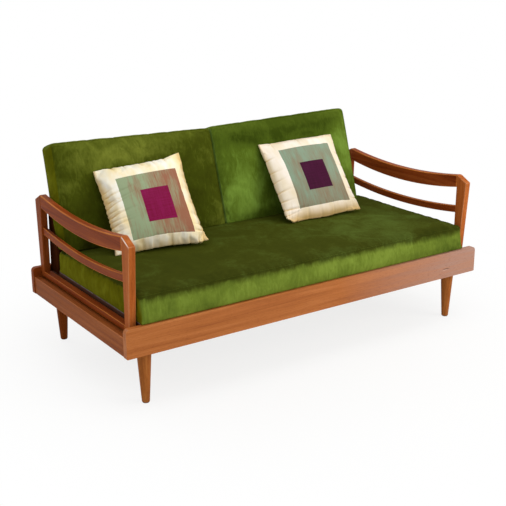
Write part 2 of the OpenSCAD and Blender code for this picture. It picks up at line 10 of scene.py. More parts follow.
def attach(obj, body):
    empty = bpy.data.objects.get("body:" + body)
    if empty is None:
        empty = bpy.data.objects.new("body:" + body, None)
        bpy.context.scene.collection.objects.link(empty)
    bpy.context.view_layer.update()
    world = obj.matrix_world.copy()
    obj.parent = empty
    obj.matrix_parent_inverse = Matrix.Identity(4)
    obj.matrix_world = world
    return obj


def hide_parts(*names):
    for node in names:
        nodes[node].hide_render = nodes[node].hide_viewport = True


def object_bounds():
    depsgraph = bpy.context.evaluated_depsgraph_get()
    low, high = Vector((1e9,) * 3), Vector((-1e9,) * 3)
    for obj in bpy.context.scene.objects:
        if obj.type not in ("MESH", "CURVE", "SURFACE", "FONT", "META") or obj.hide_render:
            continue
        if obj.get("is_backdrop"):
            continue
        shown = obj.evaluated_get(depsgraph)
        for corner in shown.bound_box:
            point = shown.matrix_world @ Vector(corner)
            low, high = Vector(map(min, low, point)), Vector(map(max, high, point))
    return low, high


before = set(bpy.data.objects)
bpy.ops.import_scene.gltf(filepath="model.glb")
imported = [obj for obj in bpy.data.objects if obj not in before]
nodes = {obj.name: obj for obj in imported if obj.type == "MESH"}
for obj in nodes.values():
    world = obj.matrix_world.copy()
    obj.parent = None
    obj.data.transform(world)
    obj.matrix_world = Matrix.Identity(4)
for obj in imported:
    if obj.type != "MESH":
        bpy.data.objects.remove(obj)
cad_box = [list(corner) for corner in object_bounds()]

# CAMERA
# It stands where the photograph was taken: in front of the sofa's left end, 1.75 m above the floor
# and looking 18 degrees down. The place was found by fitting the rails, posts and legs.
CAMERA_AT = (-2.46575, -3.57396, 1.74641)
CAMERA_YAW = math.radians(-34.1954)
CAMERA_PITCH = math.radians(72.46162)
CAMERA_ROLL = math.radians(-0.29485)
LENS_MM, SENSOR_MM = 68.47583, 36


def added(name, data):
    """Puts a camera, lamp or mesh into the scene as an object."""
    made = bpy.data.objects.new(name, data)
    bpy.context.collection.objects.link(made)
    return made


camera_data = bpy.data.cameras.new("camera")
camera_data.sensor_width, camera_data.lens = SENSOR_MM, LENS_MM
camera = added("camera", camera_data)
camera.matrix_world = (
    Matrix.Translation(CAMERA_AT)
    @ Matrix.Rotation(CAMERA_YAW, 4, "Z")
    @ Matrix.Rotation(CAMERA_PITCH, 4, "X")
    @ Matrix.Rotation(CAMERA_ROLL, 4, "Z")
)
bpy.context.scene.camera = camera
bpy.context.scene.view_settings.view_transform = "Standard"


# STUDIO
# A white floor that keeps the sofa's shadow, even daylight from a large window in front and to the
# right, a weaker fill from the left, and soft light from above and behind. The world is white where
# it is seen or mirrored.
def linear(hex_colour):
    parts = [int(hex_colour[i:i + 2], 16) / 255 for i in (1, 3, 5)]
    return (*[c / 12.92 if c <= 0.04045 else ((c + 0.055) / 1.055) ** 2.4 for c in parts], 1)


def node(tree, kind, links=None, **settings):
    """Adds one shader or geometry node, with its settings, values and incoming links.

    A Map Range node reads the range in sockets 1 and 2 and gives the one in 3 and 4, or 0 to 1.
    """
    made = tree.nodes.new(kind)
    for name, value in settings.items():
        setattr(made, name, value)
    for name, value in (links or {}).items():
        if isinstance(value, bpy.types.NodeSocket):
            tree.links.new(value, made.inputs[name])
        else:
            made.inputs[name].default_value = value
    return made


def new_material(name):
    """An empty node material, its tree and its Object coordinates."""
    made = bpy.data.materials.new(name)
    made.use_nodes = True
    made.node_tree.nodes.clear()
    return made, made.node_tree, node(made.node_tree, "ShaderNodeTexCoord").outputs["Object"]


def seen_or_mirrored(tree):
    """1 for rays that come from the camera, off a glossy surface or through a clear one."""
    rays = node(tree, "ShaderNodeLightPath").outputs
    mask = rays["Is Camera Ray"]
    for kind in ("Is Glossy Ray", "Is Transmission Ray"):
        mask = node(tree, "ShaderNodeMath", {0: mask, 1: rays[kind]}, operation="MAXIMUM").outputs[0]
    return mask


world = bpy.data.worlds.new("daylight")
world.use_nodes = True
bpy.context.scene.world = world
sky = world.node_tree
sky.nodes.clear()
AMBIENT = 0.5
ambient = node(sky, "ShaderNodeBackground", {"Color": linear("#fbfaf6"), "Strength": AMBIENT})
white = node(sky, "ShaderNodeBackground", {"Color": (1, 1, 1, 1), "Strength": 1})
both = node(sky, "ShaderNodeMixShader", {0: seen_or_mirrored(sky), 1: ambient.outputs[0], 2: white.outputs[0]})
node(sky, "ShaderNodeOutputWorld", {"Surface": both.outputs[0]})

# The floor shows a fifth of the shadow under the sofa, and turns pure white 1.7 m from its middle.
FLOOR_M, SHADE_FROM_M, WHITE_FROM_M, WHITE_SHARE = 30, 0.6, 1.7, 0.8
floor_material, tree, place = new_material("white_studio_floor")
away = node(tree, "ShaderNodeVectorMath", {0: place}, operation="LENGTH").outputs["Value"]
fade = node(tree, "ShaderNodeMapRange", {
    0: away, 1: SHADE_FROM_M, 2: WHITE_FROM_M, 3: WHITE_SHARE, 4: 1,
}, interpolation_type="SMOOTHSTEP").outputs[0]
glow = node(tree, "ShaderNodeMath", {0: seen_or_mirrored(tree), 1: fade}, operation="MULTIPLY")
paint = node(tree, "ShaderNodeBsdfDiffuse", {"Color": linear("#f6f6f5")})
light = node(tree, "ShaderNodeEmission", {"Color": (1, 1, 1, 1), "Strength": 1})
both = node(tree, "ShaderNodeMixShader", {0: glow.outputs[0], 1: paint.outputs[0], 2: light.outputs[0]})
node(tree, "ShaderNodeOutputMaterial", {"Surface": both.outputs[0]})


def mesh_of(name, verts, edges, faces):
    """A plain mesh from points in metres."""
    mesh = bpy.data.meshes.new(name)
    mesh.from_pydata([tuple(map(float, v)) for v in verts], edges, [tuple(f) for f in faces])
    return mesh


floor_corners = [(x * FLOOR_M, y * FLOOR_M, 0) for x, y in ((-1, -1), (1, -1), (1, 1), (-1, 1))]
floor = added("floor", mesh_of("floor", floor_corners, [], [(0, 1, 2, 3)]))
floor.data.materials.append(floor_material)
floor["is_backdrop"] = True

# Each lamp: name, place, what it points at, width and height in metres, watts, colour.
for lamp_name, at, target, size, power, colour in (
    ("window", (3.0, -3.6, 2.2), (0.2, 0, 0.5), (2.8, 2.2), 108, "#fffaf2"),
    ("fill", (-3.8, -2.6, 2.6), (-0.2, 0, 0.4), (2.4, 2.0), 22, "#ffffff"),
    ("top", (0.2, -0.6, 4.2), (0, 0, 0.4), (3.2, 2.4), 55, "#ffffff"),
    ("rear", (-1.0, 3.6, 2.8), (0, 0, 0.5), (2.6, 1.6), 40, "#ffffff"),
):
    lamp_data = bpy.data.lights.new(lamp_name, "AREA")
    lamp_data.shape = "RECTANGLE"
    lamp_data.size, lamp_data.size_y = size
    lamp_data.energy = power
    lamp_data.color = linear(colour)[:3]
    lamp = added(lamp_name, lamp_data)
    lamp.location = at
    lamp.rotation_euler = (Vector(target) - Vector(at)).to_track_quat("-Z", "Y").to_euler()


# FRONT AND REAR RAILS
# Two long boards of oiled teak, 26 mm thick, whose upper ends are rounded over. The grain runs along
# the board. Handling has worn the front one's edges paler, and its right half carries a painted sheen, a paler and
# pinker tone.
def spot_distance(tree, place, centre, half_size):
    """How far a point lies from the middle of an oval spot, where 1 is on the spot's edge."""
    off = node(tree, "ShaderNodeVectorMath", {0: place, 1: centre}, operation="SUBTRACT")
    off = node(tree, "ShaderNodeVectorMath", {0: off.outputs[0], 1: half_size}, operation="DIVIDE")
    return node(tree, "ShaderNodeVectorMath", {0: off.outputs[0]}, operation="LENGTH").outputs["Value"]


def wood(name, dark, mid, pale, along, roughness=0.46, painted_sheen=None, shine=0.04, marks=()):
    """Sawn hardwood, rubbed with oil: a warm, nearly matt surface with streaks along one axis.

    The painted sheen is a paler tone laid on for a reflection, with the x where it starts and where it is full.
    Each mark is a worn or scratched spot or a painted highlight, given as centre, half size and tone.
    """
    made, tree, place = new_material(name)

    def streaks(width_mm, stretch, detail, **settings):
        scale = [1000 / width_mm] * 3
        scale["XYZ".index(along)] /= stretch
        drawn = node(tree, "ShaderNodeMapping", {"Vector": place, "Scale": scale})
        return node(tree, "ShaderNodeTexNoise", {
            "Vector": drawn.outputs[0], "Scale": 1, "Detail": detail, **settings,
        }).outputs[0]

    # Growth streaks, fine figure, and open pores, which are drawn wider than real ones so that they show.
    growth = streaks(width_mm=34, stretch=22, detail=3, Distortion=0.5)
    figure = streaks(width_mm=6, stretch=45, detail=4)
    pores = streaks(width_mm=1.2, stretch=16, detail=2)
    mixed = node(tree, "ShaderNodeMix", {"Factor": 0.4, "A": growth, "B": figure}, data_type="FLOAT").outputs[0]
    ramp = node(tree, "ShaderNodeValToRGB", {"Fac": mixed})
    ramp.color_ramp.elements.new(0.5)
    for stop, at, tone in zip(ramp.color_ramp.elements, (0.33, 0.5, 0.67), (dark, mid, pale)):
        stop.position, stop.color = at, linear(tone)
    colour = ramp.outputs[0]
    # Painted sheen: a paler, pinker tone laid over the faces from the start x to the full x.
    if painted_sheen:
        tone, start, full = painted_sheen
        x = node(tree, "ShaderNodeSeparateXYZ", {0: place}).outputs["X"]
        sheen_ramp = node(tree, "ShaderNodeMapRange", {0: x, 1: start, 2: full}).outputs[0]
        uneven = node(tree, "ShaderNodeMapRange", {0: mixed, 1: 0.35, 2: 0.6, 3: 0.95, 4: 0.6}).outputs[0]
        share = node(tree, "ShaderNodeMath", {0: sheen_ramp, 1: uneven}, operation="MULTIPLY").outputs[0]
        colour = node(tree, "ShaderNodeMix", {
            "Factor": share, "A": colour, "B": linear(tone),
        }, data_type="RGBA").outputs["Result"]
    for centre, half_size, tone in marks:
        off = spot_distance(tree, place, centre, half_size)
        share = node(tree, "ShaderNodeMapRange", {0: off, 1: 0.5, 2: 1.1, 3: 0.85, 4: 0}).outputs[0]
        colour = node(tree, "ShaderNodeMix", {
            "Factor": share, "A": colour, "B": linear(tone),
        }, data_type="RGBA").outputs["Result"]
    pore_mask = node(tree, "ShaderNodeMapRange", {0: pores, 1: 0.34, 2: 0.43, 3: 1, 4: 0}).outputs[0]
    pore_share = node(tree, "ShaderNodeMath", {0: pore_mask, 1: 0.35}, operation="MULTIPLY").outputs[0]
    pored = node(tree, "ShaderNodeMix", {
        "Factor": pore_share, "A": colour, "B": linear(dark),
    }, data_type="RGBA", blend_type="MULTIPLY")
    gloss = node(tree, "ShaderNodeMapRange", {
        0: figure, 1: 0.3, 2: 0.7, 3: roughness - 0.05, 4: roughness + 0.07,
    }).outputs[0]
    bump = node(tree, "ShaderNodeBump", {"Height": pore_mask, "Strength": 0.25, "Distance": 0.0003}, invert=True)
    bsdf = node(tree, "ShaderNodeBsdfPrincipled", {
        "Base Color": pored.outputs["Result"], "Roughness": gloss, "Specular IOR Level": shine,
        "Normal": bump.outputs[0],
    })
    node(tree, "ShaderNodeOutputMaterial", {"Surface": bsdf.outputs[0]})
    return made


def turned_out(mesh, merged=0):
    """Joins points that lie within merged metres, and turns the faces outwards."""
    build = bmesh.new()
    build.from_mesh(mesh)
    if merged:
        bmesh.ops.remove_doubles(build, verts=build.verts, dist=merged)
    bmesh.ops.recalc_face_normals(build, faces=build.faces)
    build.to_mesh(mesh)
    build.free()


def shown(name, verts, faces, materials):
    """Makes one closed mesh at the origin from points in metres, its faces turned outwards."""
    mesh = mesh_of(name, verts, [], faces)
    turned_out(mesh, merged=1e-6)
    for m in materials:
        mesh.materials.append(m)
    mesh.polygons.foreach_set("use_smooth", [True] * len(mesh.polygons))
    return added(name, mesh)


def fixed(made, body, replaced=()):
    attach(made, body)
    if replaced:
        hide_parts(*replaced)
    return made


def flattened(made):
    """Turns an object's live modifiers into a plain mesh."""
    bpy.context.view_layer.update()
    mesh = bpy.data.meshes.new_from_object(made.evaluated_get(bpy.context.evaluated_depsgraph_get()))
    made.modifiers.clear()
    made.data = mesh
    return made


def board(name, low_edge, high_edge, axis, start, end, woods, body, edge_mm, replaced):
    """A sawn board between two edges of equal point counts, as thick as start to end along axis.

    woods are the faces' material and that of the eased edges.
    """
    count = len(low_edge)
    order = {"X": (2, 0, 1), "Y": (0, 2, 1)}[axis]
    verts = [[(a, b, depth)[k] for k in order] for depth in (start, end) for a, b in (*low_edge, *high_edge)]
    back = 2 * count
    faces = [(0, count, back + count, back), (count - 1, back + count - 1, back + 2 * count - 1, 2 * count - 1)]
    for i in range(count - 1):
        faces += [
            (i, i + 1, count + i + 1, count + i),
            (back + i, back + i + 1, back + count + i + 1, back + count + i),
            (i, back + i, back + i + 1, i + 1),
            (count + i, back + count + i, back + count + i + 1, count + i + 1),
        ]
    made = shown(name, verts, faces, woods)
    ease = made.modifiers.new("eased edges", "BEVEL")
    ease.width, ease.segments = edge_mm / 1000, 3
    ease.limit_method, ease.angle_limit = "ANGLE", math.radians(25)
    ease.harden_normals = True
    ease.material = 1
    return fixed(flattened(made), body, replaced)


RAIL_X, RAIL_LOW, RAIL_HIGH, RAIL_OUT, RAIL_IN = 0.95, 0.234, 0.357, 0.475, 0.449
RAIL_TOP_R, RAIL_FOOT_R, ARC_STEPS = 0.018, 0.005, 8
SCRATCH = ((0.758, -RAIL_OUT, 0.279), (0.024, 0.01, 0.0024), "#2c130a")
# A pale line along the scratch's lower lip is a painted highlight.
PAINTED_SCRATCH_GLINT = ((0.752, -RAIL_OUT, 0.2745), (0.016, 0.01, 0.0018), "#d9b8a6")
WORN_LEFT_END = ((-RAIL_X, -RAIL_OUT, 0.30), (0.012, 0.012, 0.05), "#c9a58c")
# The front rail's faces and edges take a painted sheen over their right half, a paler and pinker tone.
rail_wood = wood("oiled_teak_grain_along_x", "#9a5524", "#ae6630", "#bd7640", "X",
                 painted_sheen=("#ac897c", 0.1, 0.8), shine=0.16, marks=(SCRATCH, PAINTED_SCRATCH_GLINT))
rail_edge = wood("worn_teak_edge_with_painted_sheen_grain_along_x", "#a0683f", "#b87f56", "#c89673", "X", 0.5,
                 painted_sheen=("#b89788", 0.1, 0.8), marks=(WORN_LEFT_END,))
shaded_wood = wood("darker_oiled_teak_grain_along_x", "#74340f", "#8a4216", "#9e5526", "X")
quarter = [math.pi / 2 * k / ARC_STEPS for k in range(ARC_STEPS, -1, -1)]
rail_low, rail_high = [
    [(-RAIL_X + r * (1 - math.sin(a)), z + turn * r * (1 - math.cos(a))) for a in quarter]
    for r, z, turn in ((RAIL_FOOT_R, RAIL_LOW, 1), (RAIL_TOP_R, RAIL_HIGH, -1))
]
rail_low += [(-x, z) for x, z in rail_low[::-1]]
rail_high += [(-x, z) for x, z in rail_high[::-1]]
for name, side, woods in (("front_rail", -1, (rail_wood, rail_edge)), ("rear_rail", 1, (shaded_wood, shaded_wood))):
    board(name + "_board", rail_low, rail_high, "Y", side * RAIL_OUT, side * RAIL_IN, woods, "base", 2.4, [name])

# LOWER END BOARDS
# One low board of the same teak between the rails at each end, with its top cut down so that the
# arm can fold out over it. Its grain runs from front to back.
end_wood = wood("oiled_teak_grain_along_y", "#763c18", "#8f4c20", "#a35e30", "Y")
end_edge = wood("worn_teak_edge_grain_along_y", "#9a5630", "#b0683a", "#c07e52", "Y", 0.5)
END_OUT, END_IN, END_TOP = 0.946, 0.922, 0.316
for name, side in (("left_end_board", -1), ("right_end_board", 1)):
    low, high = [[(side * END_OUT, z), (side * END_IN, z)] for z in (RAIL_LOW, END_TOP)]
    board(name + "_plank", low, high, "Y", -RAIL_IN, RAIL_IN, (end_wood, end_edge), "base", 2.5, [name])

# LEGS AND GLIDES
# Four turned teak legs taper from 62 mm to 33 mm, and screw into blocks in the frame's corners.
# Each stands on a glide of black moulded plastic, a dull skin with a fine grit.
leg_wood = wood("turned_teak_grain_along_z", "#854a21", "#a2602c", "#b4743c", "Z")
# The rear legs take a darker copy of the leg wood: painted shade.
shaded_rear_leg_wood = wood("shaded_turned_teak_grain_along_z", "#6a3009", "#7d3c0e", "#914c1b", "Z")
LEG_X, LEG_Y, LEG_TOP_R, LEG_FOOT_R, LEG_FOOT_Z, LEG_SIDES = 0.84, 0.405, 0.031, 0.0165, 0.003, 56
FOOT_EASE = 0.0025
leg_profile = [
    (0, LEG_FOOT_Z), (LEG_FOOT_R - 0.9 * FOOT_EASE, LEG_FOOT_Z),
    (LEG_FOOT_R - 0.25 * FOOT_EASE, LEG_FOOT_Z + 0.25 * FOOT_EASE), (LEG_FOOT_R, LEG_FOOT_Z + FOOT_EASE),
    *[(LEG_FOOT_R + (LEG_TOP_R - LEG_FOOT_R) * t, LEG_FOOT_Z + (RAIL_LOW - LEG_FOOT_Z) * t)
      for t in (0.25, 0.5, 0.75, 1)],
    (0, RAIL_LOW),
]
ring = [2 * math.pi * k / LEG_SIDES for k in range(LEG_SIDES)]
leg_faces = []
for row in range(0, (len(leg_profile) - 1) * LEG_SIDES, LEG_SIDES):
    for k in range(LEG_SIDES):
        j = (k + 1) % LEG_SIDES
        leg_faces.append((row + k, row + j, row + LEG_SIDES + j, row + LEG_SIDES + k))
for end_name, side_y, turned_wood in (("front", -1, leg_wood), ("rear", 1, shaded_rear_leg_wood)):
    for side_name, side_x in (("left", -1), ("right", 1)):
        verts = [(side_x * LEG_X + r * math.cos(a), side_y * LEG_Y + r * math.sin(a), z)
                 for r, z in leg_profile for a in ring]
        leg = shown(f"turned_leg_{end_name}_{side_name}", verts, leg_faces, [turned_wood])
        leg.data.set_sharp_from_angle(angle=math.radians(50))
        fixed(leg, "base", [f"leg_{end_name}_{side_name}"])

GRIT_PER_M = 1600  # grit of 0.6 mm
glide_plastic, tree, place = new_material("moulded_black_glide_plastic")
grit = node(tree, "ShaderNodeTexNoise", {"Vector": place, "Scale": GRIT_PER_M, "Detail": 2})
bump = node(tree, "ShaderNodeBump", {"Height": grit.outputs[0], "Strength": 0.2, "Distance": 0.0002})
bsdf = node(tree, "ShaderNodeBsdfPrincipled", {
    "Base Color": linear("#1d1b19"), "Roughness": 0.55, "Normal": bump.outputs[0],
})
node(tree, "ShaderNodeOutputMaterial", {"Surface": bsdf.outputs[0]})


def finish_nodes(material, *names):
    """Gives CAD nodes their finished material."""
    for name in names:
        for holder in nodes[name].material_slots:
            holder.material = material


finish_nodes(glide_plastic, "glide_front_left", "glide_front_right", "glide_rear_left", "glide_rear_right")

# HIDDEN TIMBERS
# Leg blocks, cross rails, centre rail and rear bearer are dark oiled hardwood, and the arm ledges
# are teak like the end boards. The front cleats and the dowels are planed softwood, pale and bare.
DARK_TONES, PINE_TONES = ("#2f1a10", "#45281a", "#593524"), ("#b98d58", "#cda672", "#dcbb8a")
dark_across = wood("dark_oiled_hardwood_grain_along_y", *DARK_TONES, "Y", 0.5)
dark_along = wood("dark_oiled_hardwood_grain_along_x", *DARK_TONES, "X", 0.5)
pine = wood("planed_softwood_grain_along_x", *PINE_TONES, "X", 0.6)
finish_nodes(dark_across, "left_cross_rail", "right_cross_rail", "centre_rail")
finish_nodes(end_wood, "left_arm_ledge", "right_arm_ledge")
finish_nodes(dark_along, "rear_bearer", *[n for n in nodes if n.startswith("leg_block")])
finish_nodes(pine, "front_cleats", "frame_dowels")

# MATTRESS SUPPORT
# Four bars of angle steel in brown paint, rubbed down to grey metal along the upper edge, carry
# twelve softwood slats. The grey edge shows between the left end board and the mattress.
angle_paint, tree, place = new_material("brown_paint_worn_to_grey_steel")
BARE_FROM_Z, BARE_TO_Z = 0.3552, 0.3585
STAINS_PER_M, PEEL_PER_M = 45, 700  # stains of 22 mm, orange peel of 1.4 mm
stains = node(tree, "ShaderNodeTexNoise", {
    "Vector": place, "Scale": STAINS_PER_M, "Detail": 6, "Roughness": 0.65,
}).outputs[0]
height = node(tree, "ShaderNodeSeparateXYZ", {0: place}).outputs["Z"]
high = node(tree, "ShaderNodeMapRange", {0: height, 1: BARE_FROM_Z, 2: BARE_TO_Z})
ragged = node(tree, "ShaderNodeMapRange", {0: stains, 1: 0.3, 2: 0.5})
worn = node(tree, "ShaderNodeMath", {0: high.outputs[0], 1: ragged.outputs[0]}, operation="MULTIPLY")
bare = node(tree, "ShaderNodeMix", {
    "Factor": stains, "A": linear("#5a4d49"), "B": linear("#86807f"),
}, data_type="RGBA")
painted = node(tree, "ShaderNodeMix", {
    "Factor": worn.outputs[0], "A": linear("#4a2b1e"), "B": bare.outputs["Result"],
}, data_type="RGBA")
rough = node(tree, "ShaderNodeMapRange", {0: stains, 3: 0.65, 4: 0.45})
peel = node(tree, "ShaderNodeTexNoise", {"Vector": place, "Scale": PEEL_PER_M, "Detail": 2})
bump = node(tree, "ShaderNodeBump", {"Height": peel.outputs[0], "Strength": 0.2, "Distance": 0.0003})
bsdf = node(tree, "ShaderNodeBsdfPrincipled", {
    "Base Color": painted.outputs["Result"], "Roughness": rough.outputs[0], "Specular IOR Level": 0.15,
    "Metallic": 0.1, "Normal": bump.outputs[0],
})
node(tree, "ShaderNodeOutputMaterial", {"Surface": bsdf.outputs[0]})
finish_nodes(angle_paint, "front_angle", "rear_angle", "left_angle", "right_angle")

slat_pine = wood("planed_softwood_grain_along_y", *PINE_TONES, "Y", 0.6)


def geometry_tree(name, sizes, takes_mesh=False):
    """A geometry node group with named float or whole-number inputs, its input node and its output node."""
    made = bpy.data.node_groups.new(name, "GeometryNodeTree")
    if takes_mesh:
        made.interface.new_socket("Geometry", in_out="INPUT", socket_type="NodeSocketGeometry")
    for key, value in sizes.items():
        kind = "NodeSocketInt" if isinstance(value, int) else "NodeSocketFloat"
        made.interface.new_socket(key, in_out="INPUT", socket_type=kind).default_value = value
    made.interface.new_socket("Geometry", in_out="OUTPUT", socket_type="NodeSocketGeometry")
    return made, node(made, "NodeGroupInput").outputs, node(made, "NodeGroupOutput").inputs


def grown(made, tree, sizes=None):
    """Runs a geometry node tree on an object with these sizes and keeps the result as a plain mesh."""
    live = made.modifiers.new(tree.name, "NODES")
    live.node_group = tree
    for item in tree.interface.items_tree:
        if item.item_type == "SOCKET" and item.in_out == "INPUT" and item.name in (sizes or {}):
            live[item.identifier] = sizes[item.name]
    return flattened(made)


slat_tree, given, result = geometry_tree("slat_row", {
    "Count": 12, "Width": 0.06, "Thickness": 0.022, "Length": 0.766, "Run": 1.678, "Edge": 0.003,
    "Front": -0.444, "Top": 0.361,
})
gaps = node(slat_tree, "ShaderNodeMath", {0: given["Count"], 1: 1}, operation="SUBTRACT")
gap = node(slat_tree, "ShaderNodeMath", {0: given["Run"], 1: gaps.outputs[0]}, operation="DIVIDE")
half_run = node(slat_tree, "ShaderNodeMath", {0: given["Run"], 1: -0.5}, operation="MULTIPLY")
half_thick = node(slat_tree, "ShaderNodeMath", {0: given["Thickness"], 1: 0.5}, operation="MULTIPLY")
middle = node(slat_tree, "ShaderNodeMath", {0: given["Top"], 1: half_thick.outputs[0]}, operation="SUBTRACT")
first = node(slat_tree, "ShaderNodeCombineXYZ", {0: half_run.outputs[0], 1: given["Front"], 2: middle.outputs[0]})
step = node(slat_tree, "ShaderNodeCombineXYZ", {0: gap.outputs[0]})
row = node(slat_tree, "GeometryNodeMeshLine", {
    "Count": given["Count"], "Start Location": first.outputs[0], "Offset": step.outputs[0],
})
section = node(slat_tree, "GeometryNodeCurvePrimitiveQuadrilateral", {
    "Width": given["Width"], "Height": given["Thickness"],
})
eased = node(slat_tree, "GeometryNodeFilletCurve", {
    "Curve": section.outputs[0], "Radius": given["Edge"], "Count": 3,
}, mode="POLY")
far_end = node(slat_tree, "ShaderNodeCombineXYZ", {1: given["Length"]})
path = node(slat_tree, "GeometryNodeCurvePrimitiveLine", {"Start": (0, 0, 0), "End": far_end.outputs[0]})
slat = node(slat_tree, "GeometryNodeCurveToMesh", {
    "Curve": path.outputs[0], "Profile Curve": eased.outputs[0], "Fill Caps": True,
})
placed = node(slat_tree, "GeometryNodeInstanceOnPoints", {"Points": row.outputs[0], "Instance": slat.outputs[0]})
real = node(slat_tree, "GeometryNodeRealizeInstances", {0: placed.outputs[0]})
dressed = node(slat_tree, "GeometryNodeSetMaterial", {"Geometry": real.outputs[0], "Material": slat_pine})
slat_tree.links.new(dressed.outputs[0], result[0])
slat_row = added("slat_row", bpy.data.meshes.new("slat_row"))
fixed(grown(slat_row, slat_tree), "base", ["slats"])

# BACK FRAME
# Three upright brackets of dark wood stand on the frame behind the mattress, and three teak rails with
# sunk screws lie on them at the cushions' lean. The brackets are painted near-black for the shade they stand in behind
# the cushions.
shaded_bracket_wood = wood("dark_hardwood_with_painted_shade_grain_along_z", "#2c1408", "#42200e", "#562d16", "Z", 0.7, shine=0)
back_wood = wood("oiled_back_teak_grain_along_x", "#7d451f", "#965728", "#a96a38", "X")
finish_nodes(shaded_bracket_wood, "left_bracket", "centre_bracket", "right_bracket")
finish_nodes(back_wood, "back_top_rail", "back_mid_rail", "back_low_rail")

# LEFT BRACKET
# The same board as the CAD's left bracket, with its outer face 9 mm further out: in the photo
# hardly any light shows between it and the rear post.
BRACKET_WIDER = 0.009


def points_of(mesh):
    flat = np.empty(len(mesh.vertices) * 3)
    mesh.vertices.foreach_get("co", flat)
    return flat.reshape(-1, 3)


def reshaped(made, change):
    """Moves a finished mesh's points by a function of their places."""
    made.data.vertices.foreach_set("co", change(points_of(made.data)).reshape(-1))
    made.data.update()
    return made


def outer_face_out(p):
    outer = p[:, 0] < (p[:, 0].min() + p[:, 0].max()) / 2
    p[outer, 0] -= BRACKET_WIDER
    return p


bracket_mesh = nodes["left_bracket"].data.copy()
bracket_mesh.transform(nodes["left_bracket"].matrix_world)
wide_bracket = reshaped(added("wider_left_bracket", bracket_mesh), outer_face_out)
fixed(wide_bracket, "base", ["left_bracket"])

# STEEL AND BRASS FITTINGS
# Zinc-plated studs, screws, bolts, pivot pins and washers, soft grey and evenly dull, and turned
# brass bushes in the arm posts, yellow and a little brighter.
MOTTLE_PER_M = 220  # dull patches of 4.5 mm
for name, colour, roughness, kept in (
    ("zinc_plated_steel", "#b4b6b8", 0.38,
     ("leg_studs", "back_screws", "bracket_bolts", "pivot_pins", "pivot_spacers")),
    ("turned_brass", "#c49a4c", 0.32, ("left_bushes", "right_bushes")),
):
    metal, tree, place = new_material(name)
    mottle = node(tree, "ShaderNodeTexNoise", {"Vector": place, "Scale": MOTTLE_PER_M, "Detail": 4})
    rough = node(tree, "ShaderNodeMapRange", {0: mottle.outputs[0], 3: roughness - 0.1, 4: roughness + 0.12})
    bsdf = node(tree, "ShaderNodeBsdfPrincipled", {
        "Base Color": linear(colour), "Metallic": 1, "Roughness": rough.outputs[0],
    })
    node(tree, "ShaderNodeOutputMaterial", {"Surface": bsdf.outputs[0]})
    finish_nodes(metal, *kept)

# ARMS
# Each arm is a teak frame that folds outwards: two tapered posts with sloping heads, a deep rail
# and a thin slat that sag between them, and a foot rail. The rails are tenoned into the posts.
# A near-white spot on the front post's sloping head is a painted highlight in the post's edge wood.
PAINTED_HEAD_HIGHLIGHT = ((-0.912, -0.422, 0.693), (0.006, 0.042, 0.03), "#f4e4d6")
post_wood = wood("oiled_arm_teak_grain_along_z", "#92491a", "#ad5c27", "#c07138", "Z", 0.42)
# The rear posts take a darker copy of the post wood for the shade at the rear: painted shade.
shaded_rear_post_wood = wood("darker_arm_teak_grain_along_z", "#6d3010", "#843f16", "#984f22", "Z", 0.42)
post_edge = wood("worn_arm_teak_post_edge", "#a35c30", "#bb7244", "#cc8a60", "Z", 0.46, marks=(PAINTED_HEAD_HIGHLIGHT,))
arm_wood = wood("oiled_arm_teak_grain_along_y", "#6e2c0d", "#873c14", "#9c4f22", "Y", 0.42)
# The eased edges of the arm rails, slats and foot rails are painted a brighter orange than the arm wood: a painted
# highlight.
arm_edge_highlight = wood("rubbed_arm_teak_edge", "#a05620", "#bb6a28", "#cf833e", "Y", 0.44)
ARM_OUT, ARM_IN, ARM_MID, SLAT_HALF = 0.912, 0.881, 0.8965, 0.009
FOOT_Z, FOOT_TOP, HEAD_Z, HEAD_LOW = 0.319, 0.345, 0.708, 0.677
# The y of a post's inner and outer side, at its foot and at its head.
FRONT_INNER, FRONT_OUTER = (-0.391, -0.393), (-0.427, -0.453)
REAR_INNER, REAR_OUTER = (0.410, 0.398), (0.446, 0.458)
RAIL_BELOW, SLAT_TOP, SLAT_LOW = 0.648, 0.555, 0.521
SAG_STEPS = 36


def sagging_edge(z, sag, y0, y1):
    """Points of the arc that passes z at both posts' heads and lies sag lower in the middle."""
    span = REAR_INNER[1] - FRONT_INNER[1]
    centre = (REAR_INNER[1] + FRONT_INNER[1]) / 2
    r = span * span / (8 * sag) + sag / 2
    return [(y, z - sag + r - math.sqrt(r * r - (y - centre) ** 2)) for y in np.linspace(y0, y1, SAG_STEPS)]


def inner_face(inner, z):
    return inner[0] + (inner[1] - inner[0]) * (z - FOOT_Z) / (HEAD_Z - FOOT_Z)


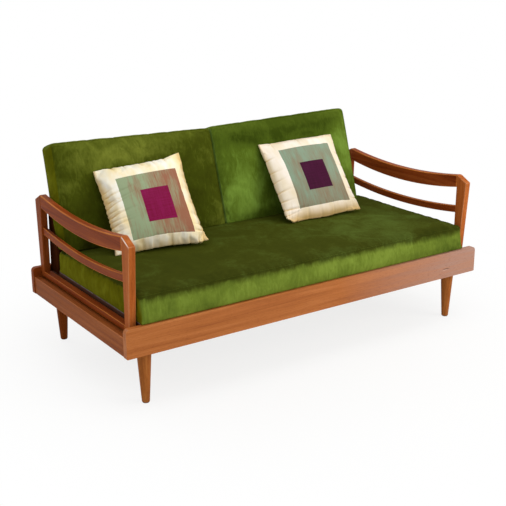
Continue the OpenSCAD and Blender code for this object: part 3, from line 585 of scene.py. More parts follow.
for side_name, side in (("left", -1), ("right", 1)):
    arm = f"{side_name}_arm"
    wide = (side * ARM_OUT, side * ARM_IN)
    thin = (side * (ARM_MID + SLAT_HALF), side * (ARM_MID - SLAT_HALF))
    for post, inner, outer, woods in (
        ("front_post", FRONT_INNER, FRONT_OUTER, (post_wood, post_edge)),
        ("rear_post", REAR_INNER, REAR_OUTER, (shaded_rear_post_wood, shaded_rear_post_wood)),
    ):
        board(f"{arm}_{post}", [(inner[0], FOOT_Z), (outer[0], FOOT_Z)], [(inner[1], HEAD_Z), (outer[1], HEAD_LOW)],
              "X", *wide, woods, arm, 3.0, [f"{side_name}_{post}"])
    for part, top, low, top_sag, low_sag, depth, edge_mm in (
        ("arm_rail", HEAD_Z, RAIL_BELOW, 0.032, 0.037, wide, 4.0),
        ("arm_slat", SLAT_TOP, SLAT_LOW, 0.028, 0.028, thin, 3.0),
    ):
        y0, y1 = [inner_face(inner, (top + low) / 2) for inner in (FRONT_INNER, REAR_INNER)]
        board(f"{arm}_{part}", sagging_edge(low, low_sag, y0, y1), sagging_edge(top, top_sag, y0, y1),
              "X", *depth, (arm_wood, arm_edge_highlight), arm, edge_mm, [f"{side_name}_{part}"])
    low, high = [[(FRONT_INNER[0], z), (REAR_INNER[0], z)] for z in (FOOT_Z, FOOT_TOP)]
    board(f"{arm}_foot_rail", low, high, "X", *wide, (arm_wood, arm_edge_highlight), arm, 2.0, [f"{side_name}_foot_rail"])


# MATTRESS
# A long foam mattress in an olive-green cotton velvet cover, boxed, with a seam round its top and
# bottom. Its pile lies back on the top and down on the sides, and the dark top and pale sides this gives under light
# are painted shade and sheen.
def velvet(name, side, top, end, patches=(), lap=None):
    """Short cotton pile, matt with a faint sheen, in (deep, mid, pale) tones for sides, top and ends.

    The way a face points picks its tones: painted shade and sheen for the pile's lie. Each patch brushes it paler or
    darker round a point, and the top's painted dark runs down over the front edge between the two heights in lap.
    """
    made, tree, place = new_material(name)
    # Brushed clouds of about 150 mm, and strokes of about 25 by 65 mm down the pile.
    brushed = node(tree, "ShaderNodeTexNoise", {
        "Vector": place, "Scale": 6.5, "Detail": 4, "Roughness": 0.55, "Distortion": 1,
    }).outputs[0]
    drawn = node(tree, "ShaderNodeMapping", {"Vector": place, "Scale": (46, 36, 15)})
    strokes = node(tree, "ShaderNodeTexNoise", {
        "Vector": drawn.outputs[0], "Scale": 1, "Detail": 4, "Roughness": 0.65, "Distortion": 1.5,
    }).outputs[0]
    nap = node(tree, "ShaderNodeMix", {"Factor": 0.35, "A": brushed, "B": strokes}, data_type="FLOAT").outputs[0]
    for centre, half_size, shift in patches:
        off = spot_distance(tree, place, centre, half_size)
        push = node(tree, "ShaderNodeMapRange", {
            0: off, 1: 0.25, 2: 1.1, 3: shift, 4: 0,
        }, interpolation_type="SMOOTHSTEP")
        nap = node(tree, "ShaderNodeMath", {0: nap, 1: push.outputs[0]}, operation="ADD").outputs[0]

    def toned(colours):
        ramp = node(tree, "ShaderNodeValToRGB", {"Fac": nap})
        ramp.color_ramp.elements.new(0.5)
        for stop, at, colour in zip(ramp.color_ramp.elements, (0.22, 0.5, 0.78), colours):
            stop.position, stop.color = at, linear(colour)
        return ramp.outputs[0]

    # Which way a face points picks its tones: the pile's lie is real, but its dark top and pale sides and ends are
    # painted shade and sheen.
    facing = node(tree, "ShaderNodeSeparateXYZ", {0: node(tree, "ShaderNodeNewGeometry").outputs["Normal"]}).outputs
    outwards = node(tree, "ShaderNodeMath", {0: facing["X"]}, operation="ABSOLUTE")
    outwards = node(tree, "ShaderNodeMapRange", {
        0: outwards.outputs[0], 1: 0.6, 2: 0.9,
    }, interpolation_type="SMOOTHSTEP")
    ragged = node(tree, "ShaderNodeMapRange", {0: nap, 1: 0.35, 2: 0.65, 3: 0.12, 4: -0.12})
    upwards = node(tree, "ShaderNodeMath", {0: facing["Z"], 1: ragged.outputs[0]}, operation="ADD")
    if lap:
        high = node(tree, "ShaderNodeSeparateXYZ", {0: place}).outputs["Z"]
        wave, mean_wave = 0.05, 0.025
        wavy = node(tree, "ShaderNodeMath", {0: brushed, 1: wave, 2: high}, operation="MULTIPLY_ADD")
        over = node(tree, "ShaderNodeMapRange", {
            0: wavy.outputs[0], 1: lap[0] + mean_wave, 2: lap[1] + mean_wave, 3: 0, 4: 0.7,
        })
        ahead = node(tree, "ShaderNodeMapRange", {0: facing["Y"], 1: -0.5, 2: 0, 3: 1, 4: 0})
        over = node(tree, "ShaderNodeMath", {0: over.outputs[0], 1: ahead.outputs[0]}, operation="MULTIPLY")
        upwards = node(tree, "ShaderNodeMath", {0: upwards.outputs[0], 1: over.outputs[0]}, operation="ADD")
    upwards = node(tree, "ShaderNodeMapRange", {
        0: upwards.outputs[0], 1: 0.28, 2: 0.9,
    }, interpolation_type="SMOOTHSTEP")
    shade = node(tree, "ShaderNodeMix", {
        "Factor": outwards.outputs[0], "A": toned(side), "B": toned(end),
    }, data_type="RGBA")
    shade = node(tree, "ShaderNodeMix", {
        "Factor": upwards.outputs[0], "A": shade.outputs["Result"], "B": toned(top),
    }, data_type="RGBA")
    # Pile of about 1 mm, coarser than the real one so that it shows, and crushed tufts of 12 mm.
    fibre = node(tree, "ShaderNodeTexNoise", {"Vector": place, "Scale": 900, "Detail": 2})
    crush = node(tree, "ShaderNodeTexNoise", {"Vector": place, "Scale": 85, "Detail": 3})
    height = node(tree, "ShaderNodeMix", {
        "Factor": 0.5, "A": fibre.outputs[0], "B": crush.outputs[0],
    }, data_type="FLOAT")
    bump = node(tree, "ShaderNodeBump", {"Height": height.outputs[0], "Strength": 0.35, "Distance": 0.0012})
    bsdf = node(tree, "ShaderNodeBsdfPrincipled", {
        "Base Color": shade.outputs["Result"], "Roughness": 0.95, "Specular IOR Level": 0.02,
        "Sheen Weight": 0.12, "Sheen Roughness": 0.45, "Sheen Tint": linear("#a8b42c"), "Normal": bump.outputs[0],
    })
    node(tree, "ShaderNodeOutputMaterial", {"Surface": bsdf.outputs[0]})
    return made


def boxed_form(half, corner, edge, step):
    """A closed box of quads with rounded corners and edges, and its points' places in the grid.

    half is its half size, corner the radius in plan, edge the radius round the top and bottom, and
    step the size of a quad.
    """
    def stops(h, ends):
        inner = h - max(ends)
        middle = np.linspace(-inner, inner, max(2, round(2 * inner / step) + 1))
        outer = np.array([h - e for e in ends if h - e > inner + 1e-9] + [h])
        return np.concatenate([-outer[::-1], middle, outer])

    bend = edge * (1 - math.tan(math.pi / 8))
    plan = sorted({corner, (corner + edge) / 2, edge, bend}, reverse=True)
    axes = [stops(half[0], plan), stops(half[1], plan), stops(half[2], [edge, bend])]
    last = [len(a) - 1 for a in axes]
    index, places, quads = {}, [], []

    def at(key):
        if key not in index:
            index[key] = len(places)
            places.append(key)
        return index[key]

    for axis in range(3):
        u, v = [k for k in range(3) if k != axis]
        for side in (0, last[axis]):
            for i in range(last[u]):
                for j in range(last[v]):
                    ring = []
                    for a, b in ((i, j), (i + 1, j), (i + 1, j + 1), (i, j + 1)):
                        key = [0, 0, 0]
                        key[axis], key[u], key[v] = side, a, b
                        ring.append(at(tuple(key)))
                    quads.append(ring)
    places = np.array(places)
    p = np.stack([axes[k][places[:, k]] for k in range(3)], 1)
    size = np.abs(p)
    # Round the edges of the top and bottom, then the corners in plan.
    inset = np.minimum(half[0] - size[:, 0], half[1] - size[:, 1])
    out = np.maximum(0, edge - inset)
    rise = np.maximum(0, edge - (half[2] - size[:, 2]))
    reach = np.hypot(out, rise)
    turn = (out > 0) & (rise > 0)
    new_out = np.where(turn, edge * out / np.maximum(reach, 1e-9), out)
    new_rise = np.where(turn, edge * rise / np.maximum(reach, 1e-9), rise)
    inset = np.where(out > 0, edge - new_out, inset)
    z = np.where(rise > 0, half[2] - edge + new_rise, size[:, 2]) * np.sign(p[:, 2])
    straight = np.array(half[:2]) - corner
    q = np.maximum(0, size[:, :2] - straight)
    length = np.hypot(q[:, 0], q[:, 1])
    far = length > 0
    q[far] *= ((corner - inset[far]) / length[far])[:, None]
    xy = np.where(size[:, :2] > straight, straight + q, size[:, :2]) * np.sign(p[:, :2])
    return np.column_stack([xy, z]), quads, places, last


def seam_loop(places, last, level):
    """Point numbers round the edge where the top or bottom panel meets the boxing."""
    where = {tuple(key): n for n, key in enumerate(places)}
    k = level * last[2]
    walk = [(i, 0, k) for i in range(last[0])] + [(last[0], j, k) for j in range(last[1])]
    walk += [(i, last[1], k) for i in range(last[0], 0, -1)] + [(0, j, k) for j in range(last[1], 0, -1)]
    return [where[key] for key in walk]


def swollen(points, quads, held, pressure, cap, frames=18, looseness=0.012, bending=0.4):
    """Blows a cover up with the cloth solver, with the held points fixed, and caps how far each point moves."""
    mesh = mesh_of("cloth", points, [], quads)
    turned_out(mesh)
    cloth_object = added("cloth", mesh)
    cloth = cloth_object.modifiers.new("cloth", "CLOTH").settings
    cloth_object.vertex_groups.new(name="held").add([int(n) for n in held], 1, "REPLACE")
    cloth.vertex_group_mass = "held"
    cloth.quality, cloth.mass = 6, 0.25
    cloth.tension_stiffness = cloth.compression_stiffness = 18
    cloth.shear_stiffness, cloth.bending_stiffness = 6, bending
    cloth.shrink_min = -looseness
    cloth.use_pressure = True
    cloth.uniform_pressure_force = pressure
    cloth.effector_weights.gravity = 0
    scene = bpy.context.scene
    scene.frame_end = max(scene.frame_end, frames + 1)
    for f in range(1, frames + 1):
        scene.frame_set(f)
    moved = points_of(cloth_object.evaluated_get(bpy.context.evaluated_depsgraph_get()).data)
    scene.frame_set(1)
    bpy.data.objects.remove(cloth_object)
    bpy.data.meshes.remove(mesh)
    shift = moved - points
    far = np.linalg.norm(shift, axis=1)
    return points + shift * np.minimum(1, cap / np.maximum(far, 1e-9))[:, None]


def swell(x, y, a, b):
    return np.sqrt(np.maximum(0, 1 - (x / a) ** 4)) * np.sqrt(np.maximum(0, 1 - (y / b) ** 4))


def smoothed(made):
    soften = made.modifiers.new("soft", "SUBSURF")
    soften.levels = soften.render_levels = 1
    return flattened(made)


def ramped(value, start, end):
    """0 before start, 1 after end, and an even curve between."""
    t = np.clip((value - start) / (end - start), 0, 1)
    return t * t * (3 - 2 * t)


FACE_DEPTH, FACE_FADE, GROOVE_END = 0.022, 0.014, 0.02


def creased(p, axis, face, lines):
    """Presses upright grooves into the side of a cover that lies at p[axis] = face.

    Each groove: its place along the side, its lean, half width and depth, and its low and high ends.
    """
    near = ramped(FACE_DEPTH - np.abs(p[:, axis] - face), 0, FACE_FADE)
    for at, lean, wide, deep, low, high in lines:
        run = np.exp(-((p[:, 1 - axis] - at - lean * (p[:, 2] - (low + high) / 2)) / wide) ** 2)
        length = ramped(p[:, 2], low, low + GROOVE_END) * ramped(-p[:, 2], -high, GROOVE_END - high)
        p[:, axis] += deep * near * run * length
    return p


mattress_velvet = velvet(
    "olive_cotton_velvet_mattress",
    ("#44541a", "#66782a", "#849a3e"), ("#2a300a", "#373c0f", "#4c5c25"), ("#424004", "#5f5e09", "#7d8020"),
    patches=(
        ((0.5, -0.2, 0.47), (0.5, 0.3, 0.1), 0.14), ((-0.6, -0.1, 0.47), (0.5, 0.35, 0.05), -0.08),
        ((0.2, -0.453, 0.41), (0.7, 0.05, 0.05), 0.06), ((0.75, -0.453, 0.41), (0.35, 0.1, 0.1), -0.12),
    ),
    lap=(0.430, 0.466),
)
MATTRESS = [(-0.876, 0.876), (-0.453, 0.326), (0.3614, 0.4674)]
CROWN, CROWN_START, MATTRESS_CORNER, MATTRESS_EDGE, MATTRESS_STEP = 0.012, 0.8, 0.026, 0.018, 0.0125
FRONT_LIFT, REAR_DROP = 0.007, 0.008
SOFT_TOUCH, CUSHION_FLOOR, CUSHION_FROM_Y = 0.0004, 0.4781, 0.17
RAIL_LAP_Y, RAIL_LAP_TOP, LAP_DROP, LIP_OUT = -0.4495, 0.38, 0.0036, 0.012
PRESSURE, MOST_SWELL = 3.0, 0.005
LOW_EDGE_SHARE = 0.3
half = [(b - a) / 2 for a, b in MATTRESS]
centre = np.array([(a + b) / 2 for a, b in MATTRESS])
points, quads, places, last = boxed_form(half, MATTRESS_CORNER, MATTRESS_EDGE, MATTRESS_STEP)
# The cover starts with most of its crown, and the solver adds the rest.
on_top = points[:, 2] > 0
points[on_top, 2] += CROWN_START * CROWN * swell(points[on_top, 0], points[on_top, 1], half[0], half[1])
# Its lower edge is much sharper than its upper one, because the mattress lies on it.
low = points[:, 2] < -half[2] + MATTRESS_EDGE - 1e-6
points[low, 2] = -half[2] + LOW_EDGE_SHARE * (points[low, 2] + half[2])
for axis in (0, 1):
    off = half[axis] - np.abs(points[:, axis])
    curled = low & (off < MATTRESS_EDGE)
    points[curled, axis] = np.sign(points[curled, axis]) * (half[axis] - LOW_EDGE_SHARE * off[curled])
bottom = np.where(points[:, 2] < -half[2] + 0.002)[0]
seams = seam_loop(places, last, 0) + seam_loop(places, last, 1)
points = swollen(points, quads, np.union1d(bottom, seams), PRESSURE, MOST_SWELL)
points += centre


def mattress_lie(p):
    """The cover as it lies: higher at the front left, pressed down behind, folded at its ends."""
    x, y, z = p.T
    lift = ramped(z, 0.40, 0.46)
    p[:, 2] += lift * FRONT_LIFT * ramped(-x, -0.2, 0.8) * ramped(-y, -0.1, 0.25)
    p[:, 2] -= lift * REAR_DROP * ramped(-x, 0.55, 0.85) * ramped(y, 0.1, 0.3)
    p = creased(p, 0, MATTRESS[0][0], (
        (-0.428, 0.15, 0.006, 0.0035, 0.365, 0.465), (-0.385, 0.35, 0.010, 0.003, 0.37, 0.46),
        (-0.352, 0.5, 0.007, 0.0035, 0.38, 0.462), (-0.325, 0.25, 0.009, 0.003, 0.365, 0.455),
        (-0.300, 0.6, 0.007, 0.0035, 0.385, 0.465), (-0.272, 0.3, 0.009, 0.0025, 0.37, 0.455),
        (-0.235, 0.7, 0.008, 0.003, 0.39, 0.465), (-0.195, 0.4, 0.012, 0.002, 0.37, 0.45),
        (-0.12, 0.3, 0.018, 0.0018, 0.37, 0.455), (0.02, -0.2, 0.02, 0.0015, 0.37, 0.455),
        (0.16, -0.3, 0.014, 0.002, 0.38, 0.46), (0.285, -0.1, 0.008, 0.003, 0.365, 0.46),
    ))
    p = creased(p, 1, MATTRESS[1][0], (
        (-0.852, 0.02, 0.005, 0.004, 0.355, 0.47), (-0.80, 0.2, 0.012, 0.0015, 0.39, 0.465),
        (-0.70, -0.15, 0.016, 0.0012, 0.38, 0.465), (-0.47, 0.1, 0.02, 0.0014, 0.37, 0.465),
        (-0.33, -0.1, 0.012, 0.0012, 0.40, 0.468), (-0.10, 0.15, 0.018, 0.0012, 0.38, 0.465),
        (0.09, -0.2, 0.016, 0.0014, 0.39, 0.467), (0.24, 0.1, 0.012, 0.0012, 0.40, 0.467),
        (0.47, -0.1, 0.02, 0.0015, 0.38, 0.465), (0.63, 0.2, 0.014, 0.0012, 0.40, 0.467),
        (0.83, -0.1, 0.008, 0.003, 0.37, 0.465),
    ))
    # Its low front edge swells out over the rail and lies on it, and nothing sinks into a neighbour.
    p[:, 1] -= LIP_OUT * ramped(-p[:, 1], 0.40, 0.45) * (1 - ramped(p[:, 2], 0.375, 0.455))
    lap = ramped(RAIL_LAP_Y + 0.001 - p[:, 1], 0, 0.001) * ramped(RAIL_LAP_TOP - p[:, 2], 0, 0.018)
    p[:, 2] -= LAP_DROP * lap
    under = p[:, 1] > CUSHION_FROM_Y
    p[under, 2] = np.minimum(p[under, 2], CUSHION_FLOOR - SOFT_TOUCH)
    p[:, 2] = np.maximum(p[:, 2], np.where(p[:, 1] > RAIL_LAP_Y, MATTRESS[2][0], RAIL_HIGH + 0.0006))
    return p


mattress = reshaped(smoothed(shown("velvet_mattress", points, quads, [mattress_velvet])), mattress_lie)
fixed(mattress, "mattress_body", ["mattress"])

# SEWN EDGES
# A narrow cord of the same velvet is sewn into both edges of each back cushion, 3 mm thick, and a
# thinner one into the mattress's upper edge. It follows the edge of the finished cover.
cord_tree, given, result = geometry_tree("sewn_cord", {"Radius": 0.0016, "Spacing": 0.006, "Sides": 8}, takes_mesh=True)
line = node(cord_tree, "GeometryNodeMeshToCurve", {"Mesh": given["Geometry"]})
even = node(cord_tree, "GeometryNodeResampleCurve", {
    "Curve": line.outputs[0], "Length": given["Spacing"],
}, mode="LENGTH")
ring = node(cord_tree, "GeometryNodeCurvePrimitiveCircle", {"Radius": given["Radius"], "Resolution": given["Sides"]})
tube = node(cord_tree, "GeometryNodeCurveToMesh", {"Curve": even.outputs[0], "Profile Curve": ring.outputs[0]})
smooth = node(cord_tree, "GeometryNodeSetShadeSmooth", {"Geometry": tube.outputs[0]})
real = node(cord_tree, "GeometryNodeRealizeInstances", {0: smooth.outputs[0]})
dressed = node(cord_tree, "GeometryNodeSetMaterial", {"Geometry": real.outputs[0]})
cord_tree.links.new(dressed.outputs[0], result[0])


def sewn_cord(name, loops, material, body, radius):
    """A thin cord round each closed loop of points."""
    verts, edges = [], []
    for loop in loops:
        start = len(verts)
        verts += list(loop)
        edges += [(start + i, start + (i + 1) % len(loop)) for i in range(len(loop))]
    made = added(name, mesh_of(name, verts, edges, []))
    dressed.inputs["Material"].default_value = material
    grown(made, cord_tree, {"Radius": radius})
    return fixed(made, body)


def eased_loop(loop):
    for _ in range(2):
        loop = (np.roll(loop, 1, 0) + 2 * loop + np.roll(loop, -1, 0)) / 4
    return loop


MATTRESS_CORD_R, CUSHION_CORD_R = 0.0008, 0.0015
mattress_loop = mattress_lie(eased_loop(points[seam_loop(places, last, 1)]))
under = mattress_loop[:, 1] > CUSHION_FROM_Y
mattress_loop[under, 2] = np.minimum(mattress_loop[under, 2], CUSHION_FLOOR - SOFT_TOUCH - MATTRESS_CORD_R)
sewn_cord("mattress_edge_cord", [mattress_loop], mattress_velvet, "mattress_body", MATTRESS_CORD_R)

# BACK CUSHIONS
# Two boxed foam cushions stand on the mattress and lean 17 degrees on the back frame. The same
# velvet, brushed darker on the left one.
LEAN = math.radians(17)
CUSHION_Y, CUSHION_Z = 0.208883, 0.4674
CUSHION_L, CUSHION_H, CUSHION_T, FRONT_SWELL, REAR_SWELL = 0.826, 0.494, 0.112, 0.022, 0.004
CUSHION_CORNER, CUSHION_EDGE, CUSHION_STEP = 0.020, 0.014, 0.0115
FRONT_START, REAR_START, END_LEAN, CORNER_PUSH, MOST_THICK = 0.85, 0.3, 0.010, 0.018, CUSHION_T + 0.0045
cushion_shapes = {}
# Each cushion: name, left end, body, rise of its top at the left and right, side, top and end tones, patches.
for name, left, body, (left_rise, right_rise), tones, patches in (
    ("left_back_cushion", -0.876, "left_back_cushion_body", (0.001, -0.014),
     (("#292b04", "#424a0e", "#70792b"), ("#3f4610", "#535c19", "#6a7428"), ("#464706", "#585a08", "#717414")),
     (((-0.54, 0.33, 0.87), (0.30, 0.2, 0.11), 0.19), ((-0.78, 0.24, 0.60), (0.16, 0.2, 0.16), -0.14),
      ((-0.2, 0.26, 0.66), (0.16, 0.2, 0.2), -0.12))),
    ("right_back_cushion", -0.046, "right_back_cushion_body", (-0.010, 0.006),
     (("#303e0a", "#52661c", "#76943a"), ("#445414", "#5a6c22", "#728634"), ("#4c6020", "#66803a", "#80984a")),
     (((0.36, 0.35, 0.90), (0.5, 0.2, 0.12), -0.3), ((0.06, 0.26, 0.60), (0.17, 0.2, 0.17), 0.17),
      ((0.74, 0.3, 0.7), (0.1, 0.2, 0.25), 0.14))),
):
    half = [CUSHION_L / 2, CUSHION_H / 2, CUSHION_T / 2]
    points, quads, places, last = boxed_form(half, CUSHION_CORNER, CUSHION_EDGE, CUSHION_STEP)
    bulge = swell(points[:, 0], points[:, 1], half[0], half[1])
    points[:, 2] += np.where(points[:, 2] > 0, FRONT_START * FRONT_SWELL, -REAR_START * REAR_SWELL) * bulge
    rear = np.where(points[:, 2] < -half[2] + 0.003)[0]
    seams = seam_loop(places, last, 0) + seam_loop(places, last, 1)
    points = swollen(points, quads, np.union1d(rear, seams), PRESSURE, MOST_SWELL)
    # The flat cushion is stood up: along runs from its foot to its top, depth from front to rear.
    along, depth = points[:, 1] + half[1], half[2] - points[:, 2]
    across = points[:, 0] / CUSHION_L + 0.5
    along = along * (1 + (left_rise + (right_rise - left_rise) * across) / CUSHION_H)
    if name == "left_back_cushion":
        # Its outer end leans in towards the top, and its low outer front corner is pushed back.
        points[:, 0] += END_LEAN * ramped(along, 0.1, CUSHION_H) * ramped(0.4 - across, 0, 0.4)
        pushed = ramped(0.22 - across, 0, 0.2) * ramped(0.2 - along, 0, 0.2) * ramped(CUSHION_T - depth, 0, CUSHION_T)
        depth = depth + CORNER_PUSH * pushed
    depth = np.minimum(depth, MOST_THICK)
    cushion_velvet = velvet("olive_cotton_velvet_" + name, *tones, patches)
    points = np.column_stack([
        points[:, 0] + left + half[0],
        CUSHION_Y + depth * math.cos(LEAN) + along * math.sin(LEAN),
        np.maximum(CUSHION_Z - depth * math.sin(LEAN) + along * math.cos(LEAN), CUSHION_FLOOR),
    ])
    cushion = smoothed(shown("velvet_" + name, points, quads, [cushion_velvet]))
    fixed(cushion, body, [name])
    loops = [eased_loop(points[seam_loop(places, last, level)]) for level in (0, 1)]
    for loop in loops:
        loop[:, 2] = np.maximum(loop[:, 2], CUSHION_FLOOR + 0.002)
    sewn_cord(name + "_edge_cord", loops, cushion_velvet, body, CUSHION_CORD_R)
    cushion_shapes[name] = cushion

# SCATTER PILLOWS
# Two pillows in slubbed silk: a cream cover with a grey-green square sewn on the front and a smaller
# magenta or plum square in its middle. Loose filling leaves puckers along the borders, and their folds and rolled rims
# are painted a darker dull yellow: painted shade.
SILK_SIDE_MM = 450


def silk(name, border, square=None, middle=None, warm=None, square_box=None, middle_box=None):
    """Woven shot silk: soft gloss, slubs in both thread directions, and two thread colours by turns.

    border, square and middle are pairs of tones. warm says how the square's second colour gains
    ground: its slope across, its slope upwards and its start. A box is low and high u, low and high v.
    """
    made, tree, _ = new_material(name)
    flat = node(tree, "ShaderNodeUVMap", uv_map="cover").outputs[0]
    uv = node(tree, "ShaderNodeSeparateXYZ", {0: flat})

    def slubs(across_mm, along_mm, turned=False):
        scale = [SILK_SIDE_MM / across_mm, SILK_SIDE_MM / along_mm]
        drawn = node(tree, "ShaderNodeMapping", {
            "Vector": flat, "Scale": (*(scale[::-1] if turned else scale), 1),
        })
        return node(tree, "ShaderNodeTexNoise", {
            "Vector": drawn.outputs[0], "Scale": 1, "Detail": 3, "Roughness": 0.6,
        }).outputs[0]

    # Real slubs are about 1 mm thick, and are drawn thicker so that they show.
    warp, weft = slubs(across_mm=4, along_mm=120), slubs(across_mm=4, along_mm=120, turned=True)
    streak = slubs(across_mm=9, along_mm=90)
    threads = node(tree, "ShaderNodeMix", {"Factor": 0.5, "A": warp, "B": weft}, data_type="FLOAT").outputs[0]
    stretched = node(tree, "ShaderNodeMapping", {"Vector": flat, "Scale": (6, 2.4, 1)})
    clouds = node(tree, "ShaderNodeTexNoise", {"Vector": stretched.outputs[0], "Scale": 1, "Detail": 4}).outputs[0]

    def tinted(tones, source, low, high):
        mixed = node(tree, "ShaderNodeMapRange", {0: source, 1: low, 2: high}).outputs[0]
        return node(tree, "ShaderNodeMix", {
            "Factor": mixed, "A": linear(tones[0]), "B": linear(tones[1]),
        }, data_type="RGBA").outputs["Result"]

    def sewn_on(under, patch, box):
        """Shows the patch inside its box; returns the colour and the mask."""
        mask = None
        for axis, low, high in (("X", *box[:2]), ("Y", *box[2:])):
            off = node(tree, "ShaderNodeMath", {0: uv.outputs[axis], 1: (low + high) / 2}, operation="SUBTRACT")
            off = node(tree, "ShaderNodeMath", {0: off.outputs[0]}, operation="ABSOLUTE").outputs[0]
            one = node(tree, "ShaderNodeMath", {0: off, 1: (high - low) / 2}, operation="LESS_THAN").outputs[0]
            mask = node(tree, "ShaderNodeMath", {0: mask, 1: one}, operation="MULTIPLY").outputs[0] if mask else one
        return node(tree, "ShaderNodeMix", {
            "Factor": mask, "A": under, "B": patch,
        }, data_type="RGBA").outputs["Result"], mask

    colour, height = tinted(border, clouds, 0.38, 0.62), threads
    if square:
        lie = node(tree, "ShaderNodeVectorMath", {0: flat, 1: (*warm[:2], 0)}, operation="DOT_PRODUCT")
        lie = node(tree, "ShaderNodeMath", {0: lie.outputs["Value"], 1: warm[2]}, operation="ADD")
        shot = node(tree, "ShaderNodeMix", {"Factor": 0.45, "A": clouds, "B": streak}, data_type="FLOAT")
        lie = node(tree, "ShaderNodeMath", {
            0: shot.outputs[0], 1: 1.7, 2: lie.outputs[0],
        }, operation="MULTIPLY_ADD")
        lie = node(tree, "ShaderNodeMath", {0: lie.outputs[0], 1: 0.35}, operation="SUBTRACT").outputs[0]
        for patch, box in (
            (tinted(square, lie, 0.32, 0.72), square_box), (tinted(middle, threads, 0.35, 0.65), middle_box),
        ):
            colour, mask = sewn_on(colour, patch, box)
            height = node(tree, "ShaderNodeMath", {0: mask, 1: 0.8, 2: height}, operation="MULTIPLY_ADD").outputs[0]
        # Folds and rolled rims are darkened towards a dull yellow by the stored fold shade: painted shade.
        fold = node(tree, "ShaderNodeAttribute", attribute_name="fold_shade").outputs["Fac"]
        share = node(tree, "ShaderNodeMath", {0: fold, 1: 0.85}, operation="MULTIPLY").outputs[0]
        colour = node(tree, "ShaderNodeMix", {
            "Factor": share, "A": colour, "B": linear("#cdab48"),
        }, data_type="RGBA", blend_type="MULTIPLY").outputs["Result"]
    bump = node(tree, "ShaderNodeBump", {"Height": height, "Strength": 0.35, "Distance": 0.0006})
    bsdf = node(tree, "ShaderNodeBsdfPrincipled", {
        "Base Color": colour, "Roughness": 0.5, "Specular IOR Level": 0.08, "Anisotropic": 0.35,
        "Normal": bump.outputs[0],
    })
    node(tree, "ShaderNodeOutputMaterial", {"Surface": bsdf.outputs[0]})
    return made


PILLOW_T, PILLOW_START, PILLOW_PULL, FULLNESS, PILLOW_COUNT = 0.128, 0.95, 0.011, 0.42, 60
PILLOW_PRESSURE, PILLOW_MOST_SWELL, PILLOW_LOOSENESS, PILLOW_BENDING, PILLOW_FRAMES = 4.0, 0.010, 0.035, 0.1, 20


def stuffed_cover(side, count):
    """Front and back sheets sewn together round their edge, each of count by count quads.

    Returns points, quads, the sheet of each quad, the points' places on the cover and the rim's points.
    """
    line = np.linspace(-1, 1, count + 1)
    line = 0.6 * line + 0.4 * np.sin(line * math.pi / 2)
    points, uv, quads, sheets, rim, number = [], [], [], [], [], {}

    def key_of(sheet, i, j):
        on_rim = i in (0, count) or j in (0, count)
        return (0 if on_rim else sheet, i, j), on_rim

    for sheet in (0, 1):
        for j in range(count + 1):
            for i in range(count + 1):
                key, on_rim = key_of(sheet, i, j)
                if key in number:
                    continue
                number[key] = len(points)
                if on_rim:
                    rim.append(len(points))
                u, v = line[i], line[j]
                fat = max(0, (1 - u * u) * (1 - v * v)) ** FULLNESS
                points.append((
                    side / 2 * u - PILLOW_PULL * u * (1 - v * v),
                    (-1, 1)[sheet] * PILLOW_START * PILLOW_T / 2 * fat,
                    side / 2 * v - PILLOW_PULL * v * (1 - u * u),
                ))
                uv.append((u / 2 + 0.5, v / 2 + 0.5))
    for sheet in (0, 1):
        for j in range(count):
            for i in range(count):
                corners = ((i, j), (i + 1, j), (i + 1, j + 1), (i, j + 1))
                ring = [number[key_of(sheet, a, b)[0]] for a, b in corners]
                quads.append(ring if sheet == 0 else ring[::-1])
                sheets.append(sheet)
    return np.array(points), quads, sheets, np.array(uv), rim


def puckered(p, uv, bows, puckers, corners):
    """Bows the sides out, presses folds in from the seam and pulls corners about, in the pillow's own frame.

    Each bow: edge, distance out, share of painted shade on its roll, reach of the roll. Each pucker: place
    along its edge, slope, half width, depth, reach. Each corner: place, reach, shift. Returns the
    points and how much painted shade each one takes, in a fold or on the roll of the rim.
    """
    # For each edge: how far a point is from it, how far along it, and which way points inwards.
    sides = {
        "left": (uv[:, 0], uv[:, 1], 0, 1), "right": (1 - uv[:, 0], uv[:, 1], 0, -1),
        "low": (uv[:, 1], uv[:, 0], 2, 1), "high": (1 - uv[:, 1], uv[:, 0], 2, -1),
    }
    thin, seam_reach, full_fold = 0.02, 0.05, 0.006
    fold_shade = np.zeros(len(p))
    for edge, out, roll_shade, reach in bows:
        from_edge, along, axis, sign = sides[edge]
        fold_shade = np.maximum(fold_shade, roll_shade * np.exp(-(from_edge / reach) ** 2))
        p[:, axis] -= sign * out * (1 - (2 * along - 1) ** 2) * ramped(0.6 - from_edge, 0, 0.6)
    for edge, folds in puckers.items():
        from_edge, along, axis, sign = sides[edge]
        for at, slope, wide, deep, reach in folds:
            track = np.exp(-((along - at - slope * from_edge) / wide) ** 2) * np.exp(-(from_edge / reach) ** 2)
            p[:, 1] -= np.sign(p[:, 1]) * deep * track * np.minimum(1, np.abs(p[:, 1]) / thin)
            p[:, axis] += sign * 0.5 * deep * track * np.exp(-(from_edge / seam_reach) ** 2)
            fold_shade = np.maximum(fold_shade, track ** 2 * min(1, deep / full_fold))
    for at, wide, shift in corners:
        near = np.exp(-(((uv - np.array(at)) ** 2).sum(1)) / wide ** 2)
        p += near[:, None] * np.array(shift)
    return p, fold_shade


SEAT_REACH, SEAT_GAP = 0.25, 0.0012


def seated(points, solid, direction):
    """Moves points that lie inside or against a piece out of it along direction."""
    out = Vector(direction).normalized()
    for n, p in enumerate(points):
        hit = solid.ray_cast(Vector(p) + out * SEAT_REACH, -out, SEAT_REACH + SEAT_GAP)[0]
        if hit is not None:
            points[n] = hit + out * SEAT_GAP
    return points


